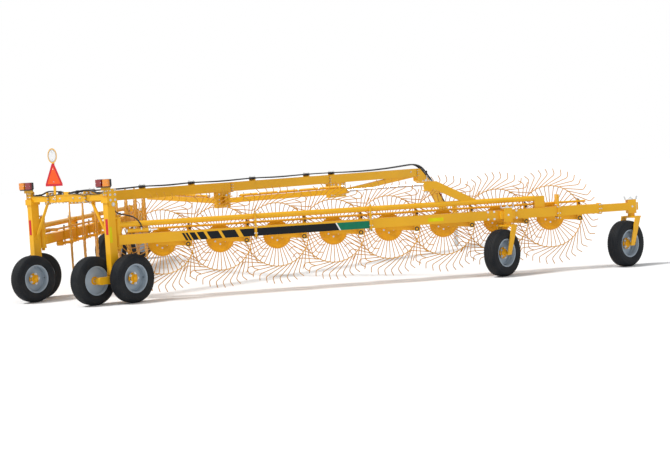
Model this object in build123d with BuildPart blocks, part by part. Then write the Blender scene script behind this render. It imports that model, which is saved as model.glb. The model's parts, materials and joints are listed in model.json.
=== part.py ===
# Bi-fold wheel rake, towed: a spine and a rear frame on tandem wheels, with two arms that swing,
# each on two casters and with eight finger wheels. X is forward, Y is left, Z is up, all in mm.
# Built with X counted from the rear axles' middle; save() moves it so that the origin lies on the
# ground under the middle of the whole.
import os
from math import cos, hypot, radians, sin, sqrt

from build123d import *

os.makedirs("parts", exist_ok=True)

# Rear frame
HALF_GAUGE = 860        # middle of the machine to an upright's centre
UPRIGHT_X = 15          # upright's centre, fore and aft
UPRIGHT_L = 125         # upright, along X
UPRIGHT_W = 100         # upright, along Y
UPRIGHT_FOOT = 400      # height of its lower end
UPRIGHT_TOP = 1380
CROSS_H = 84            # crossbeam
CROSS_L = 90
CROSS_Z = 1460          # its centre line

# Road wheels
TYRE_R = 335
TYRE_W = 205
RIM_R = 190             # where the tyre sits
AXLE_X = 193            # tandem: wheel centre before or behind the middle
AXLE_Y = 181            # tandem: wheel centre beside the walking beam
STUB_R = 25
HUB_HALF = 41           # half the length of a wheel's hub

# Spine, drawbar
SPINE_FRONT = 7880
SPINE_REAR = -60
SPINE_TOP = 1520
SPINE_H = 143
SPINE_W = 130
PIVOT_X = 2960          # where both struts swing
PIVOT_Y = 100
PIVOT_Z = 1240
HITCH_X = 9300
HITCH_Z = 420
JACK_X = 8930

# Arms
SPREAD = 38.5           # degrees between an arm and the spine
HINGE_X = 150
BEAM_Z0 = 797
BEAM_H = 135
BEAM_W = 130
BEAM_END = 6920
TIP_TUBE = 110          # smaller tube that slides in the beam's end
TUBE_R = 38             # upper tube
TUBE_Z = 1070
TUBE_END = 5950
SPLICES = (1880, 3510, 6280)
LEVER_Z = 985
LIFT_R = 16

# Finger wheels
WHEELS = 8
WHEEL_STEP = 810
FIRST_HUB = 596
HUB_OFF = 269           # hub inwards of the arm's line
HUB_Z = 780
SKEW = 15               # degrees that a finger wheel turns from its arm
TIP_R = 702
RING_R = 450
DISC_R = 200
FINGER_HUB = 24         # hub's end outwards of the wheel's plane
CRANK_STEP = 354        # crank's pivot outboard of the hub, along the arm
CRANK_Z = 748
CRANK_BACK = CRANK_STEP * cos(radians(SKEW)) + HUB_OFF * sin(radians(SKEW))
CRANK_SIDE = HUB_OFF * cos(radians(SKEW)) - CRANK_STEP * sin(radians(SKEW))

# Casters: (name, along the arm, off the arm's line, turn in degrees)
CASTERS = (("rear", 5493, -122, -3.0), ("front", 7413, 0, -8.0))
TRAIL = 160
FORK_HALF = 122

# Struts
EYE_T = 4380            # strut's eye on the arm
EYE_OFF = 100
EYE_Z = 1365
STRUT_TUBE = 2180
STRUT_W = 80
ROD_R = 23
ROD_INSIDE = 860        # rod that stays in the tube

REAR_END = -AXLE_X - TYRE_R
FRONT_END = HITCH_X + 50
X_MIDDLE = (REAR_END + FRONT_END) / 2

SIDES = {"right": 1, "left": -1}    # +1: the arm's inner side is its local +Y


def xy(side, x, y):
    """Point with y measured outwards on that side."""
    return (x, -SIDES[side] * y)


def arm_plane(side):
    k = SIDES[side]
    return Plane(
        origin=(HINGE_X, -k * HALF_GAUGE, 0),
        x_dir=(cos(radians(SPREAD)), -k * sin(radians(SPREAD)), 0),
        z_dir=(0, 0, 1),
    )


def on_arm(side, t, off, z):
    """World point t along the arm, off inwards of its line."""
    k = SIDES[side]
    a = radians(SPREAD)
    return (
        HINGE_X + t * cos(a) + off * sin(a),
        -k * (HALF_GAUGE + t * sin(a) - off * cos(a)),
        z,
    )


def wheel_plane(side, t, off, z):
    """Plane of a finger wheel: x outboard along the wheel, z inwards along its axle."""
    k = SIDES[side]
    a = radians(SPREAD + SKEW)
    return Plane(
        origin=on_arm(side, t, off, z),
        x_dir=(cos(a), -k * sin(a), 0),
        z_dir=(sin(a), k * cos(a), 0),
    )


def axle_plane(point, turn=0.0):
    """Plane whose z runs along +Y, turned about the vertical."""
    a = radians(turn)
    return Plane(origin=point, x_dir=(cos(a), sin(a), 0), z_dir=(-sin(a), cos(a), 0))


def save(builder, name):
    placed = builder.part.moved(Location((-X_MIDDLE, 0, 0)))
    placed.label = name
    export_step(placed, f"parts/{name}.step")


# Spine with its flanges, lower chords and the strut pivots' bracket
spine_z = SPINE_TOP - SPINE_H / 2
spine_bottom = SPINE_TOP - SPINE_H
cross_front = UPRIGHT_X + CROSS_L / 2
with BuildPart() as spine:
    with BuildSketch(Plane.YZ.offset(cross_front)):
        with Locations((0, spine_z)):
            Rectangle(SPINE_W, SPINE_H)
    extrude(amount=SPINE_FRONT - cross_front)
    for x in (3125, 5450, SPINE_FRONT - 12):
        with BuildSketch(Plane.YZ.offset(x - 12)):
            with Locations((0, spine_z - 6)):
                Rectangle(SPINE_W + 36, SPINE_H + 12)
        extrude(amount=24)
    # Bracket for the struts: a post with a plate below and above each eye
    with BuildSketch(Plane.XY.offset(PIVOT_Z - 110)):
        with Locations((PIVOT_X, 0)):
            Rectangle(260, 100)
    extrude(amount=spine_bottom - PIVOT_Z + 110)
    for z in (PIVOT_Z - 72, PIVOT_Z + 56):
        with BuildSketch(Plane.XY.offset(z)):
            with Locations((PIVOT_X, 0)):
                Rectangle(180, 2 * PIVOT_Y + 90)
        extrude(amount=16)
    # Lower chord, front: from a post to the spine's front end
    with BuildSketch(Plane.YZ.offset(5450)):
        with Locations((0, 1255)):
            Rectangle(90, 250)
    extrude(amount=420)
    with BuildSketch(Plane.XZ.offset(-35)):
        with BuildLine():
            Polyline(
                (5860, 1180),
                (7860, 1370),
                (7860, 1450),
                (7760, 1450),
                (5860, 1260),
                close=True,
            )
        make_face()
    extrude(amount=70)
save(spine, "spine")

# Crossbeam with flanges and end plates
with BuildPart() as crossbeam:
    with BuildSketch(Plane.XZ.offset(-HALF_GAUGE - 60)):
        with Locations((UPRIGHT_X, CROSS_Z)):
            Rectangle(CROSS_L, CROSS_H)
    extrude(amount=2 * HALF_GAUGE + 120)
    for side, k in SIDES.items():
        with BuildSketch(Plane.XZ.offset(k * 425 - 10)):
            with Locations((UPRIGHT_X, CROSS_Z + 12)):
                Rectangle(CROSS_L + 50, CROSS_H + 70)
        extrude(amount=20)
        # Saddle on the upright's top
        with BuildSketch(Plane.XY.offset(UPRIGHT_TOP)):
            with Locations(xy(side, UPRIGHT_X, HALF_GAUGE)):
                Rectangle(UPRIGHT_L + 30, UPRIGHT_W + 40)
        extrude(amount=CROSS_Z - UPRIGHT_TOP)
save(crossbeam, "crossbeam")

# Uprights with ears for the arm's hinge, a brace and cheeks for the walking beam
EAR_LOW = 765
EAR_HIGH = 1155
for side, k in SIDES.items():
    with BuildPart() as upright:
        with BuildSketch(Plane.XY.offset(UPRIGHT_FOOT)):
            with Locations(xy(side, UPRIGHT_X, HALF_GAUGE)):
                Rectangle(UPRIGHT_L, UPRIGHT_W)
        extrude(amount=UPRIGHT_TOP - UPRIGHT_FOOT)
        for z, thick in ((EAR_LOW - 20, 20), (EAR_HIGH, 20)):
            with BuildSketch(Plane.XY.offset(z)):
                with Locations(xy(side, HINGE_X, HALF_GAUGE)):
                    Circle(50)
                with Locations(xy(side, (HINGE_X + UPRIGHT_X) / 2, HALF_GAUGE)):
                    Rectangle(HINGE_X - UPRIGHT_X, 100)
            extrude(amount=thick)
        # Ends of the hinge pin
        for z in (EAR_LOW - 55, EAR_HIGH + 20):
            with BuildSketch(Plane.XY.offset(z)):
                with Locations(xy(side, HINGE_X, HALF_GAUGE)):
                    Circle(24)
            extrude(amount=35)
        for y in (HALF_GAUGE - 55, HALF_GAUGE + 40):
            with BuildSketch(Plane.XY.offset(275)):
                with Locations(xy(side, UPRIGHT_X, y + 7.5)):
                    Rectangle(UPRIGHT_L, 15)
            extrude(amount=145)
        # Diagonal brace up to the crossbeam
        low = (UPRIGHT_X, -k * (HALF_GAUGE - 45), 900)
        high = (UPRIGHT_X, -k * 490, CROSS_Z - CROSS_H / 2)
        run = Vector(*high) - Vector(*low)
        with BuildSketch(Plane(origin=low, z_dir=run)):
            Circle(21)
        extrude(amount=run.length - 24)
        with BuildSketch(Plane.XY.offset(CROSS_Z - CROSS_H / 2 - 40)):
            with Locations((UPRIGHT_X, -k * 500)):
                Rectangle(60, 60)
        extrude(amount=40)
    save(upright, f"upright_{side}")

    # Walking beam with its two stub axles
    with BuildPart() as beam:
        with BuildSketch(Plane.XZ.offset(k * HALF_GAUGE - 40)):
            with Locations((0, TYRE_R)):
                RectangleRounded(2 * AXLE_X + 130, 100, 30)
        extrude(amount=80)
        for x, way in ((-AXLE_X, -1), (AXLE_X, 1)):
            start = k * HALF_GAUGE
            with BuildSketch(Plane.XZ.offset(start)):
                with Locations((x, TYRE_R)):
                    Circle(STUB_R)
            extrude(amount=way * k * (AXLE_Y - HUB_HALF - 0.3))
    save(beam, f"walking_beam_{side}")

# Drawbar: leaves the spine's front end downwards and runs out to the hitch
with BuildPart() as drawbar:
    with BuildSketch(Plane.XZ.offset(-50)):
        with BuildLine():
            Polyline(
                (SPINE_FRONT, SPINE_TOP - 5),
                (SPINE_FRONT + 90, SPINE_TOP - 5),
                (8400, 1165),
                (HITCH_X - 340, HITCH_Z + 50),
                (HITCH_X - 110, HITCH_Z + 50),
                (HITCH_X - 110, HITCH_Z - 50),
                (HITCH_X - 400, HITCH_Z - 50),
                (8300, 1110),
                (SPINE_FRONT, 1300),
                close=True,
            )
        make_face()
    extrude(amount=100)
    with BuildSketch(Plane.XY.offset(HITCH_Z - 20)):
        with Locations((HITCH_X - 60, 0)):
            Rectangle(120, 100)
        with Locations((HITCH_X, 0)):
            Circle(50)
        with Locations((HITCH_X, 0)):
            Circle(17, mode=Mode.SUBTRACT)
    extrude(amount=40)
    # Jack's outer tube
    with BuildSketch(Plane.XY.offset(330)):
        with Locations((JACK_X, -85)):
            Rectangle(70, 70)
            Rectangle(58, 58, mode=Mode.SUBTRACT)
    extrude(amount=420)
save(drawbar, "drawbar")

with BuildPart() as jack_leg:
    with BuildSketch(Plane.XY.offset(10)):
        with Locations((JACK_X, -85)):
            Rectangle(57.4, 57.4)
    extrude(amount=500)
    with BuildSketch(Plane.XY):
        with Locations((JACK_X, -85)):
            Rectangle(200, 200)
    extrude(amount=10)
save(jack_leg, "jack_leg")

# Lamps, triangle and round sign
with BuildPart() as lamps_red:
    for side, k in SIDES.items():
        with BuildSketch(Plane.YZ.offset(UPRIGHT_X - CROSS_L / 2 - 8 - 60)):
            with Locations((-k * (HALF_GAUGE - 60), 1655)):
                Rectangle(115, 95)
        extrude(amount=60)
save(lamps_red, "lamps_red")

with BuildPart() as lamps_amber:
    for side, k in SIDES.items():
        with BuildSketch(Plane.YZ.offset(UPRIGHT_X - CROSS_L / 2 - 8 - 60)):
            with Locations((-k * (HALF_GAUGE + 90), 1655)):
                Rectangle(115, 95)
        extrude(amount=60)
save(lamps_amber, "lamps_amber")

with BuildPart() as sign_bracket:
    for side, k in SIDES.items():
        with BuildSketch(Plane.YZ.offset(UPRIGHT_X - CROSS_L / 2 - 8)):
            with Locations((-k * (HALF_GAUGE + 15), 1625)):
                Rectangle(200, 150)
            with Locations((-k * HALF_GAUGE, 1520)):
                Rectangle(80, 110)
        extrude(amount=8)
    with BuildSketch(Plane.YZ.offset(UPRIGHT_X - CROSS_L / 2 - 8)):
        with Locations((250, 1740)):
            Rectangle(50, 640)
    extrude(amount=8)
save(sign_bracket, "sign_brackets")

with BuildPart() as triangle:
    with BuildSketch(Plane.YZ.offset(UPRIGHT_X - CROSS_L / 2 - 12)):
        with BuildLine():
            Polyline(
                (250 - 192, 1640),
                (250 + 192, 1640),
                (250 + 192, 1672),
                (250 + 24, 1955),
                (250 - 24, 1955),
                (250 - 192, 1672),
                close=True,
            )
        make_face()
    extrude(amount=4)
save(triangle, "triangle")

with BuildPart() as round_sign:
    with BuildSketch(Plane.YZ.offset(UPRIGHT_X - CROSS_L / 2 - 12)):
        with Locations((250, 2068)):
            Circle(105)
    extrude(amount=4)
save(round_sign, "round_sign")

# Arms
for side, k in SIDES.items():
    here = arm_plane(side)
    with BuildPart(here) as arm:
        with Locations((0, 0, (EAR_LOW + EAR_HIGH) / 2)):
            Cylinder(45, EAR_HIGH - EAR_LOW - 1)
        with Locations((BEAM_END / 2, 0, BEAM_Z0 + BEAM_H / 2)):
            Box(BEAM_END, BEAM_W, BEAM_H)
        with Locations(((BEAM_END + 7440) / 2, 0, BEAM_Z0 + BEAM_H / 2)):
            Box(7440 - BEAM_END, TIP_TUBE, TIP_TUBE)
        with Locations((TUBE_END / 2, 0, TUBE_Z)):
            Cylinder(TUBE_R, TUBE_END, rotation=(0, 90, 0))
        for t in SPLICES:
            with Locations((t, -k * 11, (BEAM_Z0 + TUBE_Z) / 2 + 10)):
                Box(24, BEAM_W + 2, TUBE_Z - BEAM_Z0 + 60)
        # Upper tube's end comes down to the beam
        with Locations((TUBE_END + 60, 0, (BEAM_Z0 + BEAM_H + TUBE_Z) / 2)):
            Box(150, 76, TUBE_Z - BEAM_Z0 - BEAM_H + 60)
        # Sleeves for the casters
        for name, t, off, turn in CASTERS:
            with Locations((t, k * off, BEAM_Z0 + BEAM_H / 2)):
                Box(120, 110, 200)
            with Locations((t, k * off / 2, BEAM_Z0 + BEAM_H / 2)):
                Box(200, abs(off) + 60, 110)
        # Bent bracket that holds the strut's eye
        with BuildSketch(Plane(here.origin, x_dir=here.x_dir, z_dir=here.y_dir)):
            with BuildLine():
                Polyline(
                    (EYE_T - 60, -EYE_Z - 40),
                    (EYE_T + 120, -EYE_Z - 40),
                    (EYE_T + 770, -TUBE_Z),
                    (EYE_T + 520, -TUBE_Z),
                    (EYE_T + 60, -EYE_Z + 60),
                    (EYE_T - 60, -EYE_Z + 60),
                    close=True,
                )
            make_face()
        extrude(amount=20, both=True)
        # Hangers for the cranks
        for n in range(WHEELS):
            pivot = wheel_plane(side, FIRST_HUB + WHEEL_STEP * n, HUB_OFF, CRANK_Z)
            with BuildSketch(pivot.offset(-CRANK_SIDE - 45)):
                with Locations((CRANK_BACK, -k * (BEAM_Z0 - CRANK_Z - 42))):
                    Rectangle(70, 84)
            extrude(amount=93)
    save(arm, f"arm_{side}")

    # Cranks with their levers and the lift tube
    with BuildPart() as lift:
        for n in range(WHEELS):
            t = FIRST_HUB + WHEEL_STEP * n
            pivot = wheel_plane(side, t, HUB_OFF, CRANK_Z)
            # Local: x outboard, z inwards; the hub is at x = 0, the pivot at x = CRANK_BACK
            s = -k
            rise = s * (HUB_Z - CRANK_Z)
            with BuildSketch(pivot.offset(-CRANK_SIDE + 70)):
                with BuildLine():
                    Polyline(
                        (-35, rise - 35),
                        (CRANK_BACK + 35, -35),
                        (CRANK_BACK + 35, 35),
                        (-35, rise + 35),
                        close=True,
                    )
                make_face()
            extrude(amount=12)
            with BuildSketch(pivot.offset(-CRANK_SIDE + 75)):
                with Locations((0, rise)):
                    Circle(22)
            extrude(amount=CRANK_SIDE - 75 - FINGER_HUB - 0.3)
            with BuildSketch(pivot.offset(-CRANK_SIDE + 70)):
                with Locations((CRANK_BACK, 0)):
                    Circle(24)
            extrude(amount=-21.7)
        with BuildSketch(arm_plane(side).offset(CRANK_Z)):
            for n in range(WHEELS):
                with Locations((FIRST_HUB + WHEEL_STEP * n + CRANK_STEP + 14, k * 72)):
                    Rectangle(50, 10)
        extrude(amount=LEVER_Z + 25 - CRANK_Z)
        with BuildSketch(Plane(on_arm(side, 260, 72, LEVER_Z), z_dir=arm_plane(side).x_dir)):
            Circle(LIFT_R)
        extrude(amount=6740 - 260)
    save(lift, f"lift_gear_{side}")

    # Strut: tube on the spine's pivot, rod to the arm's eye
    base = Vector(PIVOT_X, -k * PIVOT_Y, PIVOT_Z)
    eye = Vector(*on_arm(side, EYE_T, EYE_OFF, EYE_Z))
    run = eye - base
    along = Plane(origin=base, x_dir=(-run.Y, run.X, 0), z_dir=run)
    with BuildPart() as tube:
        with BuildSketch(along.offset(60)):
            Rectangle(STRUT_W, STRUT_W)
            Circle(ROD_R + 0.3, mode=Mode.SUBTRACT)
        extrude(amount=STRUT_TUBE - 60)
        with BuildSketch(Plane.XY.offset(PIVOT_Z - 55.7)):
            with Locations((PIVOT_X, -k * PIVOT_Y)):
                Circle(40)
        extrude(amount=111.4)
        with BuildSketch(along):
            Rectangle(60, 60)
        extrude(amount=70)
    save(tube, f"strut_tube_{side}")
    with BuildPart() as rod:
        with BuildSketch(along.offset(STRUT_TUBE - ROD_INSIDE)):
            Circle(ROD_R)
        extrude(amount=run.length - STRUT_TUBE + ROD_INSIDE - 24)
        with BuildSketch(Plane.XY.offset(EYE_Z - 28)):
            with Locations((eye.X, eye.Y)):
                Circle(32)
        extrude(amount=56)
    save(rod, f"strut_rod_{side}")


def tyre(name, plane):
    with BuildPart() as made:
        with BuildSketch(Plane(plane.origin, x_dir=plane.x_dir, z_dir=plane.y_dir)):
            with BuildLine():
                w = TYRE_W / 2
                Polyline(
                    (RIM_R, -w + 22),
                    (RIM_R + 45, -w),
                    (TYRE_R - 45, -w),
                    (TYRE_R, -w + 32),
                    (TYRE_R, w - 32),
                    (TYRE_R - 45, w),
                    (RIM_R + 45, w),
                    (RIM_R, w - 22),
                    close=True,
                )
            make_face()
        revolve(axis=Axis(plane.origin, plane.z_dir))
    save(made, name)


def rim(name, plane, outer):
    """Rim with its hub; outer is the side that shows the disc, +1 along the plane's z."""
    with BuildPart() as made:
        with BuildSketch(Plane(plane.origin, x_dir=plane.x_dir, z_dir=plane.y_dir)):
            with BuildLine():
                w = TYRE_W / 2 - 22
                Polyline(
                    (0, HUB_HALF),
                    (0, -HUB_HALF),
                    (55, -HUB_HALF),
                    (55, outer * 25 - 5),
                    (RIM_R - 6, outer * 25 - 5),
                    (RIM_R - 6, -w),
                    (RIM_R, -w),
                    (RIM_R, w),
                    (RIM_R - 6, w),
                    (RIM_R - 6, outer * 25 + 5),
                    (55, outer * 25 + 5),
                    (55, HUB_HALF),
                    close=True,
                )
            make_face()
        revolve(axis=Axis(plane.origin, plane.z_dir))
    save(made, name)


for side, k in SIDES.items():
    for place, x, way in (("rear", -AXLE_X, -1), ("front", AXLE_X, 1)):
        spot = (x, -k * (HALF_GAUGE + way * AXLE_Y), TYRE_R)
        tyre(f"tyre_{place}_{side}", axle_plane(spot))
        rim(f"rim_{place}_{side}", axle_plane(spot), -k * way)
    for place, t, off, turn in CASTERS:
        top = on_arm(side, t, off, 0)
        a = radians(turn * k)
        spot = (top[0] - TRAIL * cos(a), top[1] - TRAIL * sin(a), TYRE_R)
        tyre(f"tyre_caster_{place}_{side}", axle_plane(spot, turn * k))
        rim(f"rim_caster_{place}_{side}", axle_plane(spot, turn * k), -k)
        with BuildPart(Plane(origin=(top[0], top[1], 0), x_dir=(cos(a), sin(a), 0), z_dir=(0, 0, 1))) as fork:
            with Locations((-10, 0, 712)):
                Box(130, 2 * FORK_HALF + 14, 24)
            with Locations((0, 0, (720 + 763.7) / 2)):
                Cylinder(50, 763.7 - 720)
            for y in (-FORK_HALF, FORK_HALF):
                with BuildSketch(Plane(
                    origin=(top[0], top[1], 0),
                    x_dir=(cos(a), sin(a), 0),
                    z_dir=(sin(a), -cos(a), 0),
                ).offset(y - 7)):
                    with BuildLine():
                        Polyline(
                            (-TRAIL - 45, TYRE_R - 30),
                            (-TRAIL + 45, TYRE_R - 30),
                            (50, 715),
                            (-70, 715),
                            close=True,
                        )
                    make_face()
                extrude(amount=14)
                reach = FORK_HALF - HUB_HALF - 0.3
                with Locations((-TRAIL, y * (1 - reach / 2 / FORK_HALF), TYRE_R)):
                    Cylinder(20, reach, rotation=(90, 0, 0))
        save(fork, f"fork_{place}_{side}")

# Finger wheels: plain out to the tips
for side, k in SIDES.items():
    for n in range(WHEELS):
        with BuildPart() as wheel:
            at = wheel_plane(side, FIRST_HUB + WHEEL_STEP * n, HUB_OFF, HUB_Z)
            with BuildSketch(at.offset(-4)):
                Circle(TIP_R)
            extrude(amount=8)
            with BuildSketch(at.offset(-FINGER_HUB)):
                Circle(45)
            extrude(amount=FINGER_HUB + 14)
        save(wheel, f"finger_wheel_{n + 1}_{side}")
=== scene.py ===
"""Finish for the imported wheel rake: paint, tyres, tined wheels, bolts, fittings and plates, on a stage."""

import json
from math import cos, pi, radians, sin, tau

import bmesh
import bpy
from bpy.props import FloatProperty, FloatVectorProperty, IntProperty, PointerProperty
from mathutils import Matrix, Vector

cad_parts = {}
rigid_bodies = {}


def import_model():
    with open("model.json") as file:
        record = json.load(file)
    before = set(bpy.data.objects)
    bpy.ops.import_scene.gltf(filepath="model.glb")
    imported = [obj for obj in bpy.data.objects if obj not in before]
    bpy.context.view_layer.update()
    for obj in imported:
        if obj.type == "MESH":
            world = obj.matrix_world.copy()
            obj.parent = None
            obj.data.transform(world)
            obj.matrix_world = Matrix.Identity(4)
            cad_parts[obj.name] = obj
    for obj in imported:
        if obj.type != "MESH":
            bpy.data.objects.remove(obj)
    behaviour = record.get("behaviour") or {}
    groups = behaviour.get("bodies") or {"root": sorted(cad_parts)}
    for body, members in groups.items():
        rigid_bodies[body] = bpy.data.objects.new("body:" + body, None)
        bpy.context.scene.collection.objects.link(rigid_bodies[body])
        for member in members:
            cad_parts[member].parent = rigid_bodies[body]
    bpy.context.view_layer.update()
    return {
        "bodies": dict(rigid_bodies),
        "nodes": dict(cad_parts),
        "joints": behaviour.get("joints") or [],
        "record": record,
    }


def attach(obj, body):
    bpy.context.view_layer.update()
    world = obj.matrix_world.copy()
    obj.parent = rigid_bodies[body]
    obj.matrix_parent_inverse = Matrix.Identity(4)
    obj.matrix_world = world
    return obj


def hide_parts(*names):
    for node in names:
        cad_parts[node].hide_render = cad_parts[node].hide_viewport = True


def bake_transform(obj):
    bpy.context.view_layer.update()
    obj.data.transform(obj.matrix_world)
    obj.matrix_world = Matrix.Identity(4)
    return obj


bl_info = {
    "name": "Wheel rake finish",
    "version": (1, 0, 0),
    "blender": (4, 5, 0),
    "location": "3D View > Sidebar > Rake",
    "description": "Adds paint, tyres, tined wheels, bolts, fittings and plates to the packed wheel rake",
    "category": "Object",
}

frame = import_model()
NODES = frame["nodes"]
JOINTS = {joint["name"]: joint for joint in frame["joints"]}
SIDES = {"right": 1, "left": -1}

# Places that the frame's solids don't name, in metres, X from the middle between the road axles
X_MIDDLE = 4.411
HINGE_X = 0.150
HALF_GAUGE = 0.860
SPREAD = radians(38.5)
SKEW = radians(15)
UPRIGHT_X = 0.015
UPRIGHT_L = 0.125
UPRIGHT_W = 0.100
CROSS_JOINT = 0.425
SPINE_TOP = 1.520
SPINE_H = 0.143
SPINE_JOINTS = (3.125, 5.450, 7.880)
BEAM_LOW = 0.797
BEAM_TOP = 0.932
BEAM_W = 0.130
SPLICES = (1.880, 3.510, 6.280)
TIP_JOINT = 6.920
TIP_END = 7.473
FIRST_HUB = 0.596
WHEEL_STEP = 0.810
HUB_OFF = 0.269
CRANK_STEP = 0.354
CRANK_Z = 0.748
CRANK_SIDE = HUB_OFF * cos(SKEW) - CRANK_STEP * sin(SKEW)
CRANK_BACK = CRANK_STEP * cos(SKEW) + HUB_OFF * sin(SKEW)
LEVER_OFF = 0.072
# (name, place along the arm, place inwards of its line)
CASTERS = (("rear", 5.493, -0.122), ("front", 7.413, 0.0))
# Clamps on the spine as (x, height of the hoses)
HELD_AT = ((0.42, 1.549), (1.35, 1.557), (2.33, 1.560), (3.65, 1.563), (4.93, 1.561), (5.56, 1.556))
LAMPS = (("red", -0.060), ("amber", 0.090))
# Faces and centres that several fittings share
BRACKET_X = -0.038
SIGN_X = -0.042
SIGN_Y = 0.25
TRIANGLE_Z = 1.640
ROUND_SIGN_Z = 2.068
END_FACE = 0.932
CLAMP_TOP = 1.514
CLAMP_LOW = 1.406
STRUT_X = 2.960
STRUT_Y = 0.100
EYE_T = 4.380
EYE_TOP = 1.410
EYE_LOW = 1.270
JACK_X = 8.930
JACK_Y = -0.085
CAMERA_AT = (-11.5457, -15.203, 1.8648)
LIFT_OFF = -0.020
LIFT_Z = 0.979
HOSE_R = 0.009
# (x, height, how far a hose may stray from it) and, below, each hose's (y, stray)
HOSE_ROUTE = (
    (-0.008, 1.534, 0),
    (0.420, 1.549, 0),
    (0.900, 1.536, 1),
    (1.350, 1.557, 0),
    (1.860, 1.541, 1),
    (2.330, 1.560, 0),
    (2.960, 1.542, 1),
    (3.650, 1.563, 0),
    (4.270, 1.545, 1),
    (4.930, 1.561, 0),
    (5.560, 1.556, 0),
    (6.300, 1.541, 1),
    (7.000, 1.555, 1),
    (7.560, 1.588, 1),
    (7.860, 1.604, 1),
    (8.050, 1.540, 1),
    (8.200, 1.398, 1),
    (8.390, 1.215, 1),
    (8.560, 1.010, 1),
    (8.720, 0.812, 1),
)
HOSES = ((-0.044, 0), (-0.022, 0.005), (0, -0.003), (0.022, 0.006), (0.044, 0.001))
# Right lift hose as (x, y, height) from the upright down to the cylinder
LIFT_HOSE = (
    (0.093, -0.878, 1.316),
    (0.093, -0.878, 1.268),
    (0.121, -0.900, 1.233),
    (0.166, -0.936, 1.211),
    (0.222, -0.980, 1.196),
    (0.277, -1.024, 1.175),
    (0.322, -1.060, 1.137),
    (0.349, -1.082, 1.090),
    (0.365, -1.095, 1.045),
    (0.371, -1.087, 1.018),
)


def slot_colour(name):
    """Base colour that the record gives a material slot"""
    for entry in frame["record"]["materials"]:
        if entry["slot"] == name:
            return tuple(entry["base_color"][:3])
    raise ValueError(f"no material slot named {name}")


def length(name, description, default):
    return FloatProperty(name=name, description=description, default=default, unit="LENGTH")


def angle(name, description, degrees):
    return FloatProperty(name=name, description=description, default=radians(degrees), subtype="ANGLE")


class RakeSizes(bpy.types.PropertyGroup):
    tyre_radius: length("Tyre radius", "Over the tread", 0.335)
    tyre_width: length("Tyre width", "Over the sidewalls", 0.205)
    rim_radius: length("Rim radius", "Where the tyre's bead sits", 0.190)
    groove_depth: length("Groove depth", "Depth of the tread's grooves", 0.007)
    shoulder_lugs: IntProperty(
        name="Shoulder lugs", description="Lugs round each shoulder of a tyre", default=76
    )
    nut_circle: length("Nut circle", "Radius of the wheel nuts' circle", 0.070)
    tines: IntProperty(name="Tines", description="Tines on a finger wheel", default=40)
    tine_wire: length("Tine wire", "Thickness of a tine", 0.0115)
    tine_reach: length("Tine reach", "Radius over the tines' tips", 0.702)
    tine_bend: length("Tine bend", "Radius at which a tine turns back", 0.620)
    tine_sweep: angle("Tine sweep", "Angle by which a tine trails between the ring and its bend", 26.8)
    tip_sweep: angle("Tip sweep", "Angle by which a tine's tip comes back", 3.0)
    ring_radius: length("Ring radius", "Hoop that ties the tines", 0.450)
    disc_radius: length("Disc radius", "Finger wheel's disc", 0.200)
    bolt_width: length("Bolt head", "Across the flats of a plain bolt", 0.024)
    stripe_slant: length("Stripe slant", "How far a stripe's foot leans along the arm", 0.056)
    view_turn: angle("View turn", "Camera's heading", 41.59)
    view_tilt: angle("View tilt", "How far the camera looks down", 3.02)
    view_roll: angle("View roll", "How far the camera leans", 3.22)
    lens: FloatProperty(name="Lens", description="Focal length on a 36 mm sensor", default=71.85)


def colour(name, description, default):
    return FloatVectorProperty(
        name=name, description=description, default=default, subtype="COLOR", min=0, max=1
    )


class RakeColours(bpy.types.PropertyGroup):
    paint: colour("Paint", "Golden yellow enamel", slot_colour("paint_yellow"))
    disc: colour("Disc", "Enamel of the finger wheels' discs", (0.80, 0.38, 0.004))
    tine: colour("Tine", "Enamel of the tines", (0.62, 0.29, 0.03))
    ring: colour("Ring", "Enamel of the finger wheels' hoops", (0.70, 0.36, 0.03))
    rubber: colour("Rubber", "Tyres", (0.010, 0.012, 0.015))
    rim: colour("Rim", "Pale grey of the rims", (0.36, 0.43, 0.50))
    zinc: colour("Zinc", "Plated fasteners", slot_colour("zinc"))
    chrome: colour("Chrome", "Polished rods", slot_colour("chrome_rod"))
    hose: colour("Hose", "Hydraulic hoses", (0.016, 0.016, 0.018))
    black: colour("Black", "Moulded clamps and housings", (0.018, 0.018, 0.02))
    red_lens: colour("Red lens", "Inner lamps", (0.24, 0.008, 0.012))
    amber_lens: colour("Amber lens", "Outer lamps", (0.85, 0.24, 0.003))
    orange_face: colour("Orange face", "Middle of the triangle", (0.90, 0.10, 0.012))
    red_border: colour("Red border", "Border of the triangle", (0.58, 0.015, 0.03))
    sign_white: colour("Sign white", "Blank face of the round sign", slot_colour("sign_white"))
    band_black: colour("Band black", "Stripes along the beam", (0.004, 0.006, 0.009))
    band_green: colour("Band green", "Blank panel at the band's end", (0.004, 0.16, 0.085))
    label_yellow: colour("Label yellow", "Blank label and side reflectors", (0.68, 0.60, 0.0))
    grip_red: colour("Grip red", "Valve handle and hose sleeves", (0.20, 0.006, 0.012))


def sizes():
    return bpy.context.scene.rake_sizes


def colours():
    return bpy.context.scene.rake_colours


# Places

def spot(x, y, z):
    """Point with x from the road axles' middle, in the frame's own axes"""
    return Vector((x - X_MIDDLE, y, z))


def upward(z):
    return Vector((0, 0, z))


def along_arm(side):
    return Vector((cos(SPREAD), -SIDES[side] * sin(SPREAD), 0))


def inward_arm(side):
    return Vector((sin(SPREAD), SIDES[side] * cos(SPREAD), 0))


def on_arm(side, t, off, z):
    """Point t along an arm's line, off inwards of it, at height z"""
    start = spot(HINGE_X, -SIDES[side] * HALF_GAUGE, z)
    return start + along_arm(side) * t + inward_arm(side) * off


def framed(origin, x, y, z):
    """Matrix with these axes at a point"""
    return Matrix.Translation(origin) @ Matrix((x, y, z)).transposed().to_4x4()


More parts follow.
